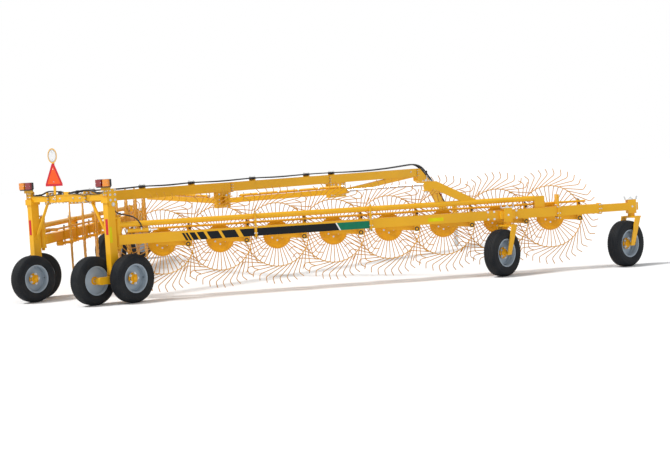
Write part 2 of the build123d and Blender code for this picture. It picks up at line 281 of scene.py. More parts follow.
def axes(origin, x_dir, z_dir):
    """Matrix that puts a shape's x and z along these directions"""
    z = Vector(z_dir).normalized()
    x = Vector(x_dir)
    x = (x - z * x.dot(z)).normalized()
    return framed(origin, x, z.cross(x), z)


def facing(origin, z_dir):
    """Matrix that puts a turned shape's axis along a direction"""
    return Matrix.Translation(origin) @ Vector(z_dir).to_track_quat("Z", "Y").to_matrix().to_4x4()


def arm_face(side, t, off, z):
    """Matrix on an upright face of an arm: x along it, y up, z out of the face that looks away"""
    return framed(on_arm(side, t, off, z), along_arm(side), upward(1), -inward_arm(side))


def finger_axes(n, side):
    """Matrix of a finger wheel: z inwards along its axle, y down on the right arm, up on the left"""
    joint = JOINTS[f"finger_{n}_{side}_spin"]
    z = Vector(joint["axis"]).normalized()
    if z.y * SIDES[side] < 0:
        z = -z
    y = upward(-SIDES[side])
    return framed(joint["pos_m"], y.cross(z), y, z)


def road_axes(name):
    """Matrix of a road or caster wheel: z out of its face that looks away from the rake"""
    joint = JOINTS[name + "_spin"]
    z = Vector(joint["axis"]).normalized()
    side = SIDES[name.rsplit("_", 1)[1]]
    out = -side
    if name.startswith("wheel_rear"):
        out = side
    if z.y * out < 0:
        z = -z
    return axes(joint["pos_m"], (1, 0, 0), z)


# Shapes

def circle(radius, height, steps):
    turns = [tau * i / steps for i in range(steps)]
    return [Vector((radius * cos(a), radius * sin(a), height)) for a in turns]


def rounded(width, height, corner, steps=3):
    """Outline of a rectangle with rounded corners"""
    points = []
    for n, (x, y) in enumerate(((1, 1), (-1, 1), (-1, -1), (1, -1))):
        middle = Vector((x * (width / 2 - corner), y * (height / 2 - corner), 0))
        for i in range(steps + 1):
            a = pi / 2 * (n + i / steps)
            points.append(middle + Vector((cos(a), sin(a), 0)) * corner)
    return points


def skin(bm, rings, at=Matrix(), loop=False, mark=0):
    """Closed skin through rings that have the same number of points"""
    made = [[bm.verts.new(at @ Vector(point)) for point in ring] for ring in rings]
    pairs = list(zip(made, made[1:]))
    if loop:
        pairs.append((made[-1], made[0]))
    count = len(made[0])
    faces = []
    for low, high in pairs:
        for i in range(count):
            j = (i + 1) % count
            faces.append(bm.faces.new((low[i], low[j], high[j], high[i])))
    if not loop:
        faces.append(bm.faces.new(made[0][::-1]))
        faces.append(bm.faces.new(made[-1]))
    for face in faces:
        face.material_index = mark


def turned(bm, profile, at=Matrix(), steps=32, loop=False, mark=0):
    """Shape turned about z from (radius, height) points"""
    skin(bm, [circle(max(radius, 0.0002), height, steps) for radius, height in profile], at, loop, mark)


def rod(bm, radius, low, high, at, steps, mark=0):
    turned(bm, [(0.0, low), (radius, low), (radius, high), (0.0, high)], at, steps, mark=mark)


def plate(bm, outline, low, high, at=Matrix(), edge=0.0008, mark=0):
    """Plate with lightly eased edges, its outline in x and y, between two heights"""
    points = [Vector((x, y, 0)) for x, y, *_ in outline]
    middle = sum(points, Vector()) / len(points)
    reach = max((p - middle).length for p in points)
    eased = [middle + (p - middle) * (1 - edge / reach) for p in points]
    lift = upward(1)
    rings = [
        [p + lift * low for p in eased],
        [p + lift * (low + edge) for p in points],
        [p + lift * (high - edge) for p in points],
        [p + lift * high for p in eased],
    ]
    skin(bm, rings, at, mark=mark)


def pipe(bm, points, radius, sides=8, at=Matrix(), mark=0):
    """Round bar along points, without twist"""
    points = [Vector(p) for p in points]
    ways = [(b - a).normalized() for a, b in zip(points, points[1:])]
    side = ways[0].orthogonal().normalized()
    rings = []
    for i, point in enumerate(points):
        before, after = ways[max(i - 1, 0)], ways[min(i, len(ways) - 1)]
        way = (before + after).normalized()
        side = (side - way * side.dot(way)).normalized()
        beside = way.cross(side)
        turns = [tau * n / sides for n in range(sides)]
        rings.append([point + (side * cos(a) + beside * sin(a)) * radius for a in turns])
    skin(bm, rings, at, mark=mark)


def bent(points, corner, steps=4):
    """Points along straight runs whose corners are rounded"""
    points = [Vector(p) for p in points]
    path = [points[0]]
    for before, middle, after in zip(points, points[1:], points[2:]):
        reach = min(corner, (before - middle).length * 0.45, (after - middle).length * 0.45)
        start = middle + (before - middle).normalized() * reach
        end = middle + (after - middle).normalized() * reach
        for i in range(steps + 1):
            s = i / steps
            path.append(start * (1 - s) ** 2 + middle * 2 * s * (1 - s) + end * s * s)
    path.append(points[-1])
    return path


def settle(bm, name, finishes, soft=None):
    """Mesh of a bmesh, its faces outwards; soft is the angle in degrees up to which edges look smooth"""
    bmesh.ops.recalc_face_normals(bm, faces=bm.faces)
    mesh = bpy.data.meshes.new(name)
    bm.to_mesh(mesh)
    bm.free()
    for label in finishes:
        mesh.materials.append(finish(label))
    if soft is not None:
        mesh.shade_smooth()
        mesh.set_sharp_from_angle(angle=radians(soft))
    return mesh


def gather(name, *meshes):
    """One mesh of several, each keeping its own materials"""
    bm = bmesh.new()
    materials = []
    for mesh in meshes:
        first = len(bm.faces)
        bm.from_mesh(mesh)
        bm.faces.ensure_lookup_table()
        for face in bm.faces[first:]:
            face.material_index += len(materials)
        materials += list(mesh.materials)
    whole = bpy.data.meshes.new(name)
    bm.to_mesh(whole)
    bm.free()
    for material in materials:
        whole.materials.append(material)
    return whole


def piece(name, mesh, body, slot, *replaced):
    """Puts a finished mesh in the scene on its body, in place of the CAD nodes named"""
    obj = bpy.data.objects.new(name, mesh)
    bpy.context.scene.collection.objects.link(obj)
    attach(obj, body)
    if replaced:
        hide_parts(*replaced)
    return obj


def fitted(bm, name, finishes, soft, body, slot):
    """Puts a bmesh's shapes in the scene as one piece"""
    return piece(name, settle(bm, name, finishes, soft), body, slot)


# Finishes

def fresh(name, **plain):
    """Material with its shader's plain sockets set, its node maker and its links"""
    material = bpy.data.materials.new(name)
    material.use_nodes = True
    tree = material.node_tree
    shader = tree.nodes["Principled BSDF"]
    for socket, value in plain.items():
        shader.inputs[socket.replace("_", " ")].default_value = value
    return material, tree, shader


def texture(tree, kind, **inputs):
    """Texture node on Object coordinates"""
    where = tree.nodes.new("ShaderNodeTexCoord")
    node = tree.nodes.new("ShaderNodeTex" + kind)
    for socket, value in inputs.items():
        node.inputs[socket].default_value = value
    tree.links.new(where.outputs["Object"], node.inputs["Vector"])
    return node


def tinted(tree, fac, dark, light, low=0.3, high=0.7):
    """Colour that runs from dark to light as fac does from low to high"""
    spread = tree.nodes.new("ShaderNodeMapRange")
    spread.inputs["From Min"].default_value = low
    spread.inputs["From Max"].default_value = high
    tree.links.new(fac, spread.inputs["Value"])
    mix = tree.nodes.new("ShaderNodeMix")
    mix.data_type = "RGBA"
    mix.inputs["A"].default_value = (*dark, 1)
    mix.inputs["B"].default_value = (*light, 1)
    tree.links.new(spread.outputs["Result"], mix.inputs["Factor"])
    return mix.outputs["Result"]


def ranged(tree, fac, low, high):
    """Value that follows fac between low and high"""
    spread = tree.nodes.new("ShaderNodeMapRange")
    spread.inputs["To Min"].default_value = low
    spread.inputs["To Max"].default_value = high
    tree.links.new(fac, spread.inputs["Value"])
    return spread.outputs["Result"]


def dressed(made, tone, rough, height, strength, distance):
    """Material with its colour, roughness and relief joined to its shader"""
    material, tree, shader = made
    tree.links.new(tone, shader.inputs["Base Color"])
    if rough:
        tree.links.new(rough, shader.inputs["Roughness"])
    relief = tree.nodes.new("ShaderNodeBump")
    relief.inputs["Strength"].default_value = strength
    relief.inputs["Distance"].default_value = distance
    tree.links.new(height, relief.inputs["Height"])
    tree.links.new(relief.outputs["Normal"], shader.inputs["Normal"])
    return material


def shade(base, by):
    return tuple(min(1.0, max(0.0, c * by)) for c in base)


def enamel(name, base, rough=0.40, coat=0.05):
    """Sprayed enamel: slow change of tone, faint orange peel, and a film of dust in the blotches"""
    made = fresh(name, Coat_Weight=coat, Coat_Roughness=0.12, Specular_IOR_Level=0.22)
    tree = made[1]
    cloud = texture(tree, "Noise", Scale=1.7, Detail=5.0, Roughness=0.55).outputs["Fac"]
    peel = texture(tree, "Noise", Scale=420.0, Detail=2.0).outputs["Fac"]
    tone = tinted(tree, cloud, shade(base, 0.93), shade(base, 1.05))
    return dressed(made, tone, ranged(tree, cloud, rough - 0.07, rough + 0.1), peel, 0.12, 0.0004)


def plated(name, base):
    """Zinc plating: spangles of slightly different grey and gloss"""
    made = fresh(name, Metallic=1.0)
    tree = made[1]
    spangle = texture(tree, "Voronoi", Scale=240.0)
    smear = texture(tree, "Noise", Scale=60.0, Detail=4.0).outputs["Fac"]
    cool = (base[0] * 0.92, base[1] * 1.0, base[2] * 1.12)
    tone = tinted(tree, spangle.outputs["Color"], shade(cool, 0.82), shade(base, 1.22), 0.1, 0.9)
    return dressed(made, tone, ranged(tree, smear, 0.24, 0.46), spangle.outputs["Distance"], 0.08, 0.0003)


def polished(name, base):
    """Chromed rod: fine lines round it"""
    made = fresh(name, Metallic=1.0)
    tree = made[1]
    lines = texture(tree, "Noise", Scale=900.0, Detail=1.0).outputs["Fac"]
    haze = texture(tree, "Noise", Scale=8.0, Detail=3.0).outputs["Fac"]
    tone = tinted(tree, haze, shade(base, 0.92), shade(base, 1.08))
    return dressed(made, tone, ranged(tree, haze, 0.10, 0.22), lines, 0.05, 0.0002)


def rubber(name, base, dust=(0.030, 0.030, 0.030)):
    """Tyre rubber: a little pale dust low in the texture, fine grain"""
    made = fresh(name, Specular_IOR_Level=0.16)
    tree = made[1]
    cloud = texture(tree, "Noise", Scale=5.0, Detail=7.0, Roughness=0.62).outputs["Fac"]
    grain = texture(tree, "Noise", Scale=650.0, Detail=3.0).outputs["Fac"]
    tone = tinted(tree, cloud, base, dust, 0.42, 0.86)
    return dressed(made, tone, ranged(tree, cloud, 0.52, 0.82), grain, 0.25, 0.0006)


def moulded(name, base, rough=0.45):
    """Moulded plastic: fine spark grain"""
    made = fresh(name, Specular_IOR_Level=0.4)
    tree = made[1]
    grain = texture(tree, "Voronoi", Scale=900.0).outputs["Distance"]
    cloud = texture(tree, "Noise", Scale=22.0, Detail=3.0).outputs["Fac"]
    tone = tinted(tree, cloud, shade(base, 0.85), shade(base, 1.2))
    return dressed(made, tone, ranged(tree, cloud, rough - 0.08, rough + 0.1), grain, 0.2, 0.0004)


def lens(name, base):
    """Lamp lens: clear gloss over small prisms, each prism's colour painted lighter in its middle and darker
    at its edge as a painted glint
    """
    made = fresh(name, Coat_Weight=0.3, Coat_Roughness=0.05, Roughness=0.18)
    prisms = texture(made[1], "Voronoi", Scale=110.0, Randomness=0.0).outputs["Distance"]
    # Painted glints: colour runs from 1.35 times the lens colour in each prism's middle down to 0.55 times at
    # its edge
    tone = tinted(made[1], prisms, shade(base, 1.35), shade(base, 0.55), 0.0, 0.8)
    return dressed(made, tone, None, prisms, 0.6, 0.002)


def sheeting(name, base):
    """Reflective sheeting: a honeycomb of cells under a smooth film"""
    made = fresh(name, Coat_Weight=0.05, Coat_Roughness=0.2, Specular_IOR_Level=0.2)
    tree = made[1]
    cells = texture(tree, "Voronoi", Scale=520.0, Randomness=0.15).outputs["Distance"]
    cloud = texture(tree, "Noise", Scale=9.0, Detail=3.0).outputs["Fac"]
    tone = tinted(tree, cells, shade(base, 1.05), shade(base, 0.82), 0.0, 0.9)
    return dressed(made, tone, ranged(tree, cloud, 0.35, 0.5), cells, 0.10, 0.0004)


def vinyl(name, base):
    """Printed vinyl: satin film that shows the paint's unevenness faintly"""
    made = fresh(name, Specular_IOR_Level=0.15)
    tree = made[1]
    waves = texture(tree, "Noise", Scale=14.0, Detail=3.0).outputs["Fac"]
    fine = texture(tree, "Noise", Scale=300.0, Detail=2.0).outputs["Fac"]
    tone = tinted(tree, waves, shade(base, 0.9), shade(base, 1.12))
    return dressed(made, tone, ranged(tree, waves, 0.34, 0.5), fine, 0.05, 0.0003)


def cover(name, base):
    """Hose cover: rubber with a faint wrapped weave"""
    made = fresh(name, Specular_IOR_Level=0.35)
    tree = made[1]
    wrap = texture(tree, "Wave", Scale=180.0, Distortion=1.5).outputs["Fac"]
    cloud = texture(tree, "Noise", Scale=12.0, Detail=4.0).outputs["Fac"]
    tone = tinted(tree, cloud, shade(base, 0.8), shade(base, 1.7))
    return dressed(made, tone, ranged(tree, cloud, 0.42, 0.62), wrap, 0.12, 0.0004)


RECIPES = {
    "paint": lambda c: enamel("golden enamel", c.paint),
    "disc": lambda c: enamel("disc enamel", c.disc, 0.42, 0.08),
    "tine": lambda c: enamel("tine enamel", c.tine, 0.42, 0.1),
    "ring": lambda c: enamel("hoop enamel", c.ring, 0.36, 0.2),
    "rim": lambda c: enamel("rim grey", c.rim, 0.34, 0.15),
    "rubber": lambda c: rubber("tyre rubber", c.rubber),
    "zinc": lambda c: plated("zinc plating", c.zinc),
    "chrome": lambda c: polished("chromed rod", c.chrome),
    "hose": lambda c: cover("hose cover", c.hose),
    "black": lambda c: moulded("black moulding", c.black),
    "red_lens": lambda c: lens("red lens", c.red_lens),
    "amber_lens": lambda c: lens("amber lens", c.amber_lens),
    "orange_face": lambda c: sheeting("orange sheeting", c.orange_face),
    "red_border": lambda c: sheeting("red sheeting", c.red_border),
    "sign_white": lambda c: sheeting("white sheeting", c.sign_white),
    "reflector": lambda c: sheeting("side reflector", c.label_yellow),
    "band_black": lambda c: vinyl("black vinyl", c.band_black),
    "band_green": lambda c: vinyl("green vinyl", c.band_green),
    "band_white": lambda c: vinyl("white vinyl", c.sign_white),
    "label": lambda c: vinyl("yellow vinyl", c.label_yellow),
    "grip": lambda c: moulded("red grip", c.grip_red, 0.5),
}
FINISHES = {}


def finish(name):
    """Material of that finish, made when it is first asked for"""
    if name not in FINISHES:
        FINISHES[name] = RECIPES[name](colours())
    return FINISHES[name]


SLOT_FINISH = {
    "paint_yellow": "paint",
    "tine_orange": "tine",
    "tyre": "rubber",
    "rim_grey": "rim",
    "zinc": "zinc",
    "chrome_rod": "chrome",
    "lamp_red": "red_lens",
    "lamp_amber": "amber_lens",
    "triangle_orange": "orange_face",
    "sign_white": "sign_white",
}


# Node trees for what repeats

def new_tree(name, inputs):
    """Empty tree with a Geometry socket each way and these inputs: (name, socket type, default)"""
    tree = bpy.data.node_groups.new(name, "GeometryNodeTree")
    tree.is_modifier = True
    tree.interface.new_socket("Geometry", in_out="INPUT", socket_type="NodeSocketGeometry")
    for label, kind, default in inputs:
        socket = tree.interface.new_socket(label, in_out="INPUT", socket_type="NodeSocket" + kind)
        if default is not None:
            socket.default_value = default
    tree.interface.new_socket("Geometry", in_out="OUTPUT", socket_type="NodeSocketGeometry")
    return tree, tree.nodes.new("NodeGroupInput"), tree.nodes.new("NodeGroupOutput")


def put(tree, socket, value):
    """Sets a socket's value, or links another socket to it"""
    if isinstance(value, bpy.types.NodeSocket):
        tree.links.new(value, socket)
    else:
        socket.default_value = value


def wire(tree, kind, settings=(), **inputs):
    """Node whose sockets are set from values or linked from other sockets"""
    node = tree.nodes.new(kind)
    for key, value in dict(settings).items():
        setattr(node, key, value)
    for label, value in inputs.items():
        put(tree, node.inputs[label.replace("_", " ")], value)
    return node


def maths(tree, operation, first, second):
    node = tree.nodes.new("ShaderNodeMath")
    node.operation = operation
    put(tree, node.inputs[0], first)
    put(tree, node.inputs[1], second)
    return node.outputs[0]


def drawn(tree, given, low, high):
    """Random number for each point, from the tree's own seed"""
    chance = tree.nodes.new("FunctionNodeRandomValue")
    chance.data_type = "FLOAT"
    floats = [socket for socket in chance.inputs if socket.enabled]
    put(tree, floats[0], low)
    put(tree, floats[1], high)
    tree.links.new(given.outputs["Seed"], chance.inputs["Seed"])
    return [socket for socket in chance.outputs if socket.enabled][0]


def copied(tree, given, result, **inputs):
    """Ends a tree with real copies on points, in the material that it is given"""
    copies = wire(tree, "GeometryNodeInstanceOnPoints", **inputs)
    real = wire(tree, "GeometryNodeRealizeInstances", Geometry=copies.outputs["Instances"])
    coat = given.outputs["Material"]
    whole = wire(tree, "GeometryNodeSetMaterial", Geometry=real.outputs["Geometry"], Material=coat)
    tree.links.new(whole.outputs["Geometry"], result.inputs["Geometry"])
    return tree


def round_axis_tree():
    """Copies of the geometry turned evenly about z, each off its place by a small random angle"""
    tree, given, result = new_tree(
        "copies round an axle",
        (("Copies", "Int", 12), ("Jitter", "Float", 0.0), ("Seed", "Int", 3), ("Material", "Material", None)),
    )
    points = wire(tree, "GeometryNodeMeshLine", Count=given.outputs["Copies"], Offset=(0, 0, 0))
    index = wire(tree, "GeometryNodeInputIndex")
    step = maths(tree, "DIVIDE", tau, given.outputs["Copies"])
    even = maths(tree, "MULTIPLY", index.outputs[0], step)
    jitter = given.outputs["Jitter"]
    off = drawn(tree, given, maths(tree, "MULTIPLY", jitter, -1.0), jitter)
    turn = wire(tree, "ShaderNodeCombineXYZ", Z=maths(tree, "ADD", even, off))
    return copied(
        tree,
        given,
        result,
        Points=points.outputs["Mesh"],
        Instance=given.outputs["Geometry"],
        Rotation=turn.outputs[0],
    )


def bolt_tree():
    """A bolt head on its washer at each point, along its aim and as large as its size says"""
    tree, given, result = new_tree(
        "bolts",
        (("Head", "Float", 0.024), ("Seed", "Int", 5), ("Material", "Material", None)),
    )

    def share(of):
        return maths(tree, "MULTIPLY", given.outputs["Head"], of)

    whole = tree.nodes.new("GeometryNodeJoinGeometry")
    # (sides, radius, depth and lift as shares of the head's width) of washer, head and shank
    for sides, radius, depth, lift in ((14, 0.86, 0.13, 0.04), (6, 0.577, 0.6, 0.38), (8, 0.3, 1.0, 0.44)):
        part = wire(
            tree, "GeometryNodeMeshCylinder", Vertices=sides, Radius=share(radius), Depth=share(depth)
        )
        raised = wire(tree, "ShaderNodeCombineXYZ", Z=share(lift))
        placed = wire(
            tree, "GeometryNodeTransform", Geometry=part.outputs["Mesh"], Translation=raised.outputs[0]
        )
        tree.links.new(placed.outputs["Geometry"], whole.inputs["Geometry"])
    aim = wire(tree, "GeometryNodeInputNamedAttribute", {"data_type": "FLOAT_VECTOR"}, Name="aim")
    size = wire(tree, "GeometryNodeInputNamedAttribute", {"data_type": "FLOAT"}, Name="size")
    spin = wire(tree, "ShaderNodeCombineXYZ", Z=drawn(tree, given, 0.0, tau))
    upright = wire(tree, "FunctionNodeAlignRotationToVector", {"axis": "Z"}, Vector=aim.outputs["Attribute"])
    turned_so = wire(
        tree,
        "FunctionNodeRotateRotation",
        {"rotation_space": "LOCAL"},
        Rotation=upright.outputs[0],
        Rotate_By=spin.outputs[0],
    )
    return copied(
        tree,
        given,
        result,
        Points=given.outputs["Geometry"],
        Instance=whole.outputs["Geometry"],
        Rotation=turned_so.outputs[0],
        Scale=size.outputs["Attribute"],
    )


TREES = {}


def grown(mesh, tree_name, **inputs):
    """Plain mesh that a tree makes of this mesh"""
    makers = {"round": round_axis_tree, "bolts": bolt_tree}
    if tree_name not in TREES:
        TREES[tree_name] = makers[tree_name]()
    tree = TREES[tree_name]
    holder = bpy.data.objects.new("holder", mesh)
    bpy.context.scene.collection.objects.link(holder)
    modifier = holder.modifiers.new("repeat", "NODES")
    modifier.node_group = tree
    for socket in tree.interface.items_tree:
        if socket.in_out == "INPUT" and socket.name in inputs:
            modifier[socket.identifier] = inputs[socket.name]
    made = bpy.data.meshes.new_from_object(holder.evaluated_get(bpy.context.evaluated_depsgraph_get()))
    holder.modifiers.remove(modifier)
    bpy.data.objects.remove(holder)
    return made


def ringed(mesh, copies, label, jitter=0.0):
    return grown(mesh, "round", Copies=copies, Jitter=jitter, Material=finish(label))


def bolts(places, name, label):
    """Bolts at (point, aim, size) places"""
    mesh = bpy.data.meshes.new(name)
    mesh.from_pydata([tuple(point) for point, aim, size in places], [], [])
    aims = [value for point, aim, size in places for value in Vector(aim).normalized()]
    mesh.attributes.new("aim", "FLOAT_VECTOR", "POINT").data.foreach_set("vector", aims)
    shares = [size for point, aim, size in places]
    mesh.attributes.new("size", "FLOAT", "POINT").data.foreach_set("value", shares)
    return grown(mesh, "bolts", Head=sizes().bolt_width, Material=finish(label))


def rows(xs, ys, zs, aim, size, place=spot):
    """Bolts of one aim and size at every mix of these places"""
    return [(place(x, y, z), aim, size) for x in xs for y in ys for z in zs]


class RAKE_OT_stage(bpy.types.Operator):
    """Floor, soft lamps and the camera at the photograph's viewing angle"""

    bl_idname = "rake.stage"
    bl_label = "Stage"

    def execute(self, context):
        scene = context.scene
        scene.view_settings.view_transform = "Standard"
        self.camera(scene)
        self.world(scene)
        self.floor(scene)
        self.lamps(scene)
        return {"FINISHED"}

    def camera(self, scene):
        s = sizes()
        turn, tilt, roll = s.view_turn, s.view_tilt, s.view_roll
        ahead = Vector((cos(turn) * cos(tilt), sin(turn) * cos(tilt), -sin(tilt)))
        level = Vector((sin(turn), -cos(turn), 0))
        up = level.cross(ahead)
        right = level * cos(roll) - up * sin(roll)
        above = level * sin(roll) + up * cos(roll)
        data = bpy.data.cameras.new("camera")
        data.lens = s.lens
        data.sensor_width = 36
        data.clip_end = 200
        camera = bpy.data.objects.new("camera", data)
        scene.collection.objects.link(camera)
        camera.matrix_world = framed(spot(*CAMERA_AT), right, above, -ahead)
        scene.camera = camera

    def world(self, scene):
        """Soft light on the rake, and plain white where a ray leaves the scene"""
        world = bpy.data.worlds.new("sky")
        scene.world = world
        world.use_nodes = True
        tree = world.node_tree
        soft = tree.nodes["Background"]
        soft.inputs["Color"].default_value = (0.96, 0.98, 1, 1)
        soft.inputs["Strength"].default_value = 0.45
        white = tree.nodes.new("ShaderNodeBackground")
        white.inputs["Color"].default_value = (1, 1, 1, 1)
        white.inputs["Strength"].default_value = 1.0
        path = tree.nodes.new("ShaderNodeLightPath")
        seen = tree.nodes["World Output"].inputs["Surface"]
        whites = path.outputs["Is Camera Ray"]
        for ray in ("Is Glossy Ray", "Is Transmission Ray"):
            add = tree.nodes.new("ShaderNodeMath")
            add.operation = "ADD"
            add.use_clamp = True
            tree.links.new(whites, add.inputs[0])
            tree.links.new(path.outputs[ray], add.inputs[1])
            whites = add.outputs[0]
        mix = tree.nodes.new("ShaderNodeMixShader")
        tree.links.new(whites, mix.inputs["Fac"])
        tree.links.new(soft.outputs[0], mix.inputs[1])
        tree.links.new(white.outputs[0], mix.inputs[2])
        tree.links.new(mix.outputs[0], seen)

    def floor(self, scene):
        """Pale floor that keeps the shadow and fades to white in the distance"""
        far = 80
        mesh = bpy.data.meshes.new("floor")
        mesh.from_pydata([(-far, -far, 0), (far, -far, 0), (far, far, 0), (-far, far, 0)], [], [(0, 1, 2, 3)])
        material, tree, shader = fresh("pale floor", Roughness=0.95, Specular_IOR_Level=0.1)
        shader.inputs["Base Color"].default_value = (0.93, 0.93, 0.93, 1)
        mesh.materials.append(material)
        floor = bpy.data.objects.new("floor", mesh)
        scene.collection.objects.link(floor)

    def lamps(self, scene):
        # (name, strength, apparent size in degrees, direction towards it)
        for name, energy, spread, toward in (
            ("high light", 2.75, 14, (-0.55, 0.45, 1.0)),
            ("low light", 0.55, 40, (-0.50, -0.85, 0.40)),
        ):
            data = bpy.data.lights.new(name, "SUN")
            data.energy = energy
            data.angle = radians(spread)
            lamp = bpy.data.objects.new(name, data)
            lamp.rotation_euler = Vector(toward).to_track_quat("Z", "Y").to_euler()
            scene.collection.objects.link(lamp)


def line_of(route):
    """Points along the smooth line that has these control points"""
    curve = bpy.data.curves.new("route", "CURVE")
    curve.dimensions = "3D"
    curve.resolution_u = 6
    line = curve.splines.new("NURBS")
    line.points.add(len(route) - 1)
    for point, place in zip(line.points, route):
        point.co = (*place, 1)
    line.order_u = 3
    line.use_endpoint_u = True
    holder = bpy.data.objects.new("route", curve)
    bpy.context.scene.collection.objects.link(holder)
    bpy.context.view_layer.update()
    mesh = bpy.data.meshes.new_from_object(holder)
    points = [vertex.co.copy() for vertex in mesh.vertices]
    bpy.data.objects.remove(holder)
    bpy.data.curves.remove(curve)
    bpy.data.meshes.remove(mesh)
    return points


class RAKE_OT_lift_hoses(bpy.types.Operator):
    """Hose from each upright to the lift cylinder on its arm, with its end fittings"""

    bl_idname = "rake.lift_hoses"
    bl_label = "Lift hoses"

    def execute(self, context):
        for side, k in SIDES.items():
            points = line_of([spot(x, k * y, z) for x, y, z in LIFT_HOSE])
            bm = bmesh.new()
            pipe(bm, points, HOSE_R, 12)
            name = f"lift_hose_{side}"
            hose = bpy.data.objects.new(name, settle(bm, name, ["hose"], 40))
            context.scene.collection.objects.link(hose)
            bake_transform(hose)
            self.fittings(side, points)
        return {"FINISHED"}

    def fittings(self, side, points):
        """Elbow on the upright, and the stub on the cylinder's barrel"""
        crimp = [
            (0.0, -0.002), (0.0135, -0.002), (0.0135, 0.006),
            (0.0120, 0.008), (0.0120, 0.022), (0.0, 0.022),
        ]
        bm = bmesh.new()
        turned(bm, crimp, facing(points[0] + upward(0.002), (0, 0, 1)), 18)
        bend = points[0] + upward(0.036)
        elbow = [points[0] + upward(0.018), bend, bend - Vector((0.024, 0, 0))]
        pipe(bm, bent(elbow, 0.012), 0.0095, 12)
        name = f"hose_fitting_upper_{side}"
        fitted(bm, name, ["zinc"], 40, "frame", "zinc")
        bm = bmesh.new()
        turned(bm, crimp, facing(points[-1] - upward(0.002), (0, 0, -1)), 18)
        foot = points[-1] - upward(0.016)
        pipe(bm, [foot, foot - upward(0.016)], 0.0095, 12)
        name = f"hose_fitting_lower_{side}"
        fitted(bm, name, ["zinc"], 40, f"arm_{side}", "zinc")


class RAKE_OT_spine_hoses(bpy.types.Operator):
    """Five hoses that clamps hold along the spine and down the drawbar, and the block that they leave"""

    bl_idname = "rake.spine_hoses"
    bl_label = "Hoses on the spine"

    def execute(self, context):
        bm = bmesh.new()
        end = [
            (0.0, -0.020), (0.0125, -0.020), (0.0125, 0.006),
            (0.0105, 0.008), (0.0105, 0.034), (0.0, 0.034),
        ]
        for y, rise in HOSES:
            points = line_of([spot(x, y, z + rise * loose) for x, z, loose in HOSE_ROUTE])
            pipe(bm, points, HOSE_R, 10)
            way = points[-1] - points[-2]
            turned(bm, end, facing(points[-1], way), 14, mark=1)
        block = axes(spot(-0.022, 0, 1.5265), (0, 1, 0), (1, 0, 0))
        plate(bm, rounded(0.118, 0.053, 0.005), -0.014, 0.014, block, 0.002, 2)
        materials = ["hose", "zinc", "paint"]
        fitted(bm, "spine_hoses", materials, 40, "frame", "tyre")
        return {"FINISHED"}


class RAKE_OT_finish(bpy.types.Operator):
    """Gives each carried-over node its enamel, plating, rubber or sheeting"""

    bl_idname = "rake.finish"
    bl_label = "Paint and plating"

    def execute(self, context):
        for part in frame["record"]["subparts"]:
            mesh = NODES[part["node"]].data
            mesh.materials.clear()
            mesh.materials.append(finish(SLOT_FINISH[part["material_slot"]]))
        return {"FINISHED"}


class RAKE_OT_tyres(bpy.types.Operator):
    """Tyres with grooved treads, lugged shoulders and ridged sidewalls"""

    bl_idname = "rake.tyres"
    bl_label = "Tyres"

    def section(self):
        """Section round the tyre as (radius, height), from bead to bead and back under the rim"""
        s = sizes()
        half = s.tyre_width / 2
        belly = s.rim_radius + 0.072
        top = s.tyre_radius
        deep = s.groove_depth
        profile = []
        for height, cut in (
            (0.000, 0), (0.010, 0), (0.0115, deep), (0.0165, deep), (0.018, 0), (0.036, 0),
            (0.0375, deep), (0.0425, deep), (0.044, 0), (0.061, 0), (0.064, deep * 0.7),
        ):
            profile.append((top - 1.14 * height * height - cut, height))
        profile.append((top - 0.0125, 0.079))
        for radius, ridge in (
            (0.308, -0.003), (0.300, 0), (0.2975, 0.0016), (0.2945, 0.0016), (0.292, 0), (0.280, 0),
            (0.270, 0), (0.2685, 0.0012), (0.266, 0.0012), (0.2645, 0), (0.250, 0), (0.236, 0),
            (0.224, 0), (0.214, 0), (0.2125, 0.0018), (0.209, 0.0018), (0.2075, 0), (0.202, 0),
        ):
            profile.append((radius, half - 4.5 * (radius - belly) ** 2 + ridge))
        profile.append((s.rim_radius + 0.0005, half - 0.026))
        mirrored = [(radius, -height) for radius, height in profile[:0:-1]]
        return profile + mirrored

    def lug(self, pitch):
        """One lug on each shoulder, half a pitch apart"""
        top = sizes().tyre_radius
        # (height, depth under the tread, half its width)
        sections = (
            (0.063, 0.0045, 0.0040),
            (0.077, 0.0070, 0.0050),
            (0.0905, 0.0215, 0.0052),
            (0.0965, 0.037, 0.0034),
        )
        bm = bmesh.new()
        for way in (1, -1):
            rings = []
            for height, drop, half in sections:
                outer, inner = top - drop, top - drop - 0.010
                inward = 0.004 if height > 0.08 else 0.0
                rings.append(
                    (
                        (inner, -half, way * (height - inward)),
                        (outer, -half * 0.8, way * height),
                        (outer, half * 0.8, way * height),
                        (inner, half, way * (height - inward)),
                    )
                )
            skin(bm, rings, Matrix.Rotation(way * pitch / 4, 4, "Z"))
        return settle(bm, "lug", ["rubber"])

    def execute(self, context):
        copies = sizes().shoulder_lugs
        bm = bmesh.new()
        turned(bm, self.section(), steps=88, loop=True)
        carcass = settle(bm, "carcass", ["rubber"], 32)
        lugs = ringed(self.lug(tau / copies), copies, "rubber")
        whole = gather("tyre", carcass, lugs)
        for name in road_wheels():
            mesh = whole.copy()
            mesh.transform(road_axes(name))
            label = name.replace("wheel_", "")
            piece(f"tyre_cover_{label}", mesh, name, "tyre", f"tyre_{label}")
        return {"FINISHED"}


def road_wheels():
    return [body for body in frame["bodies"] if body.startswith("wheel_")]


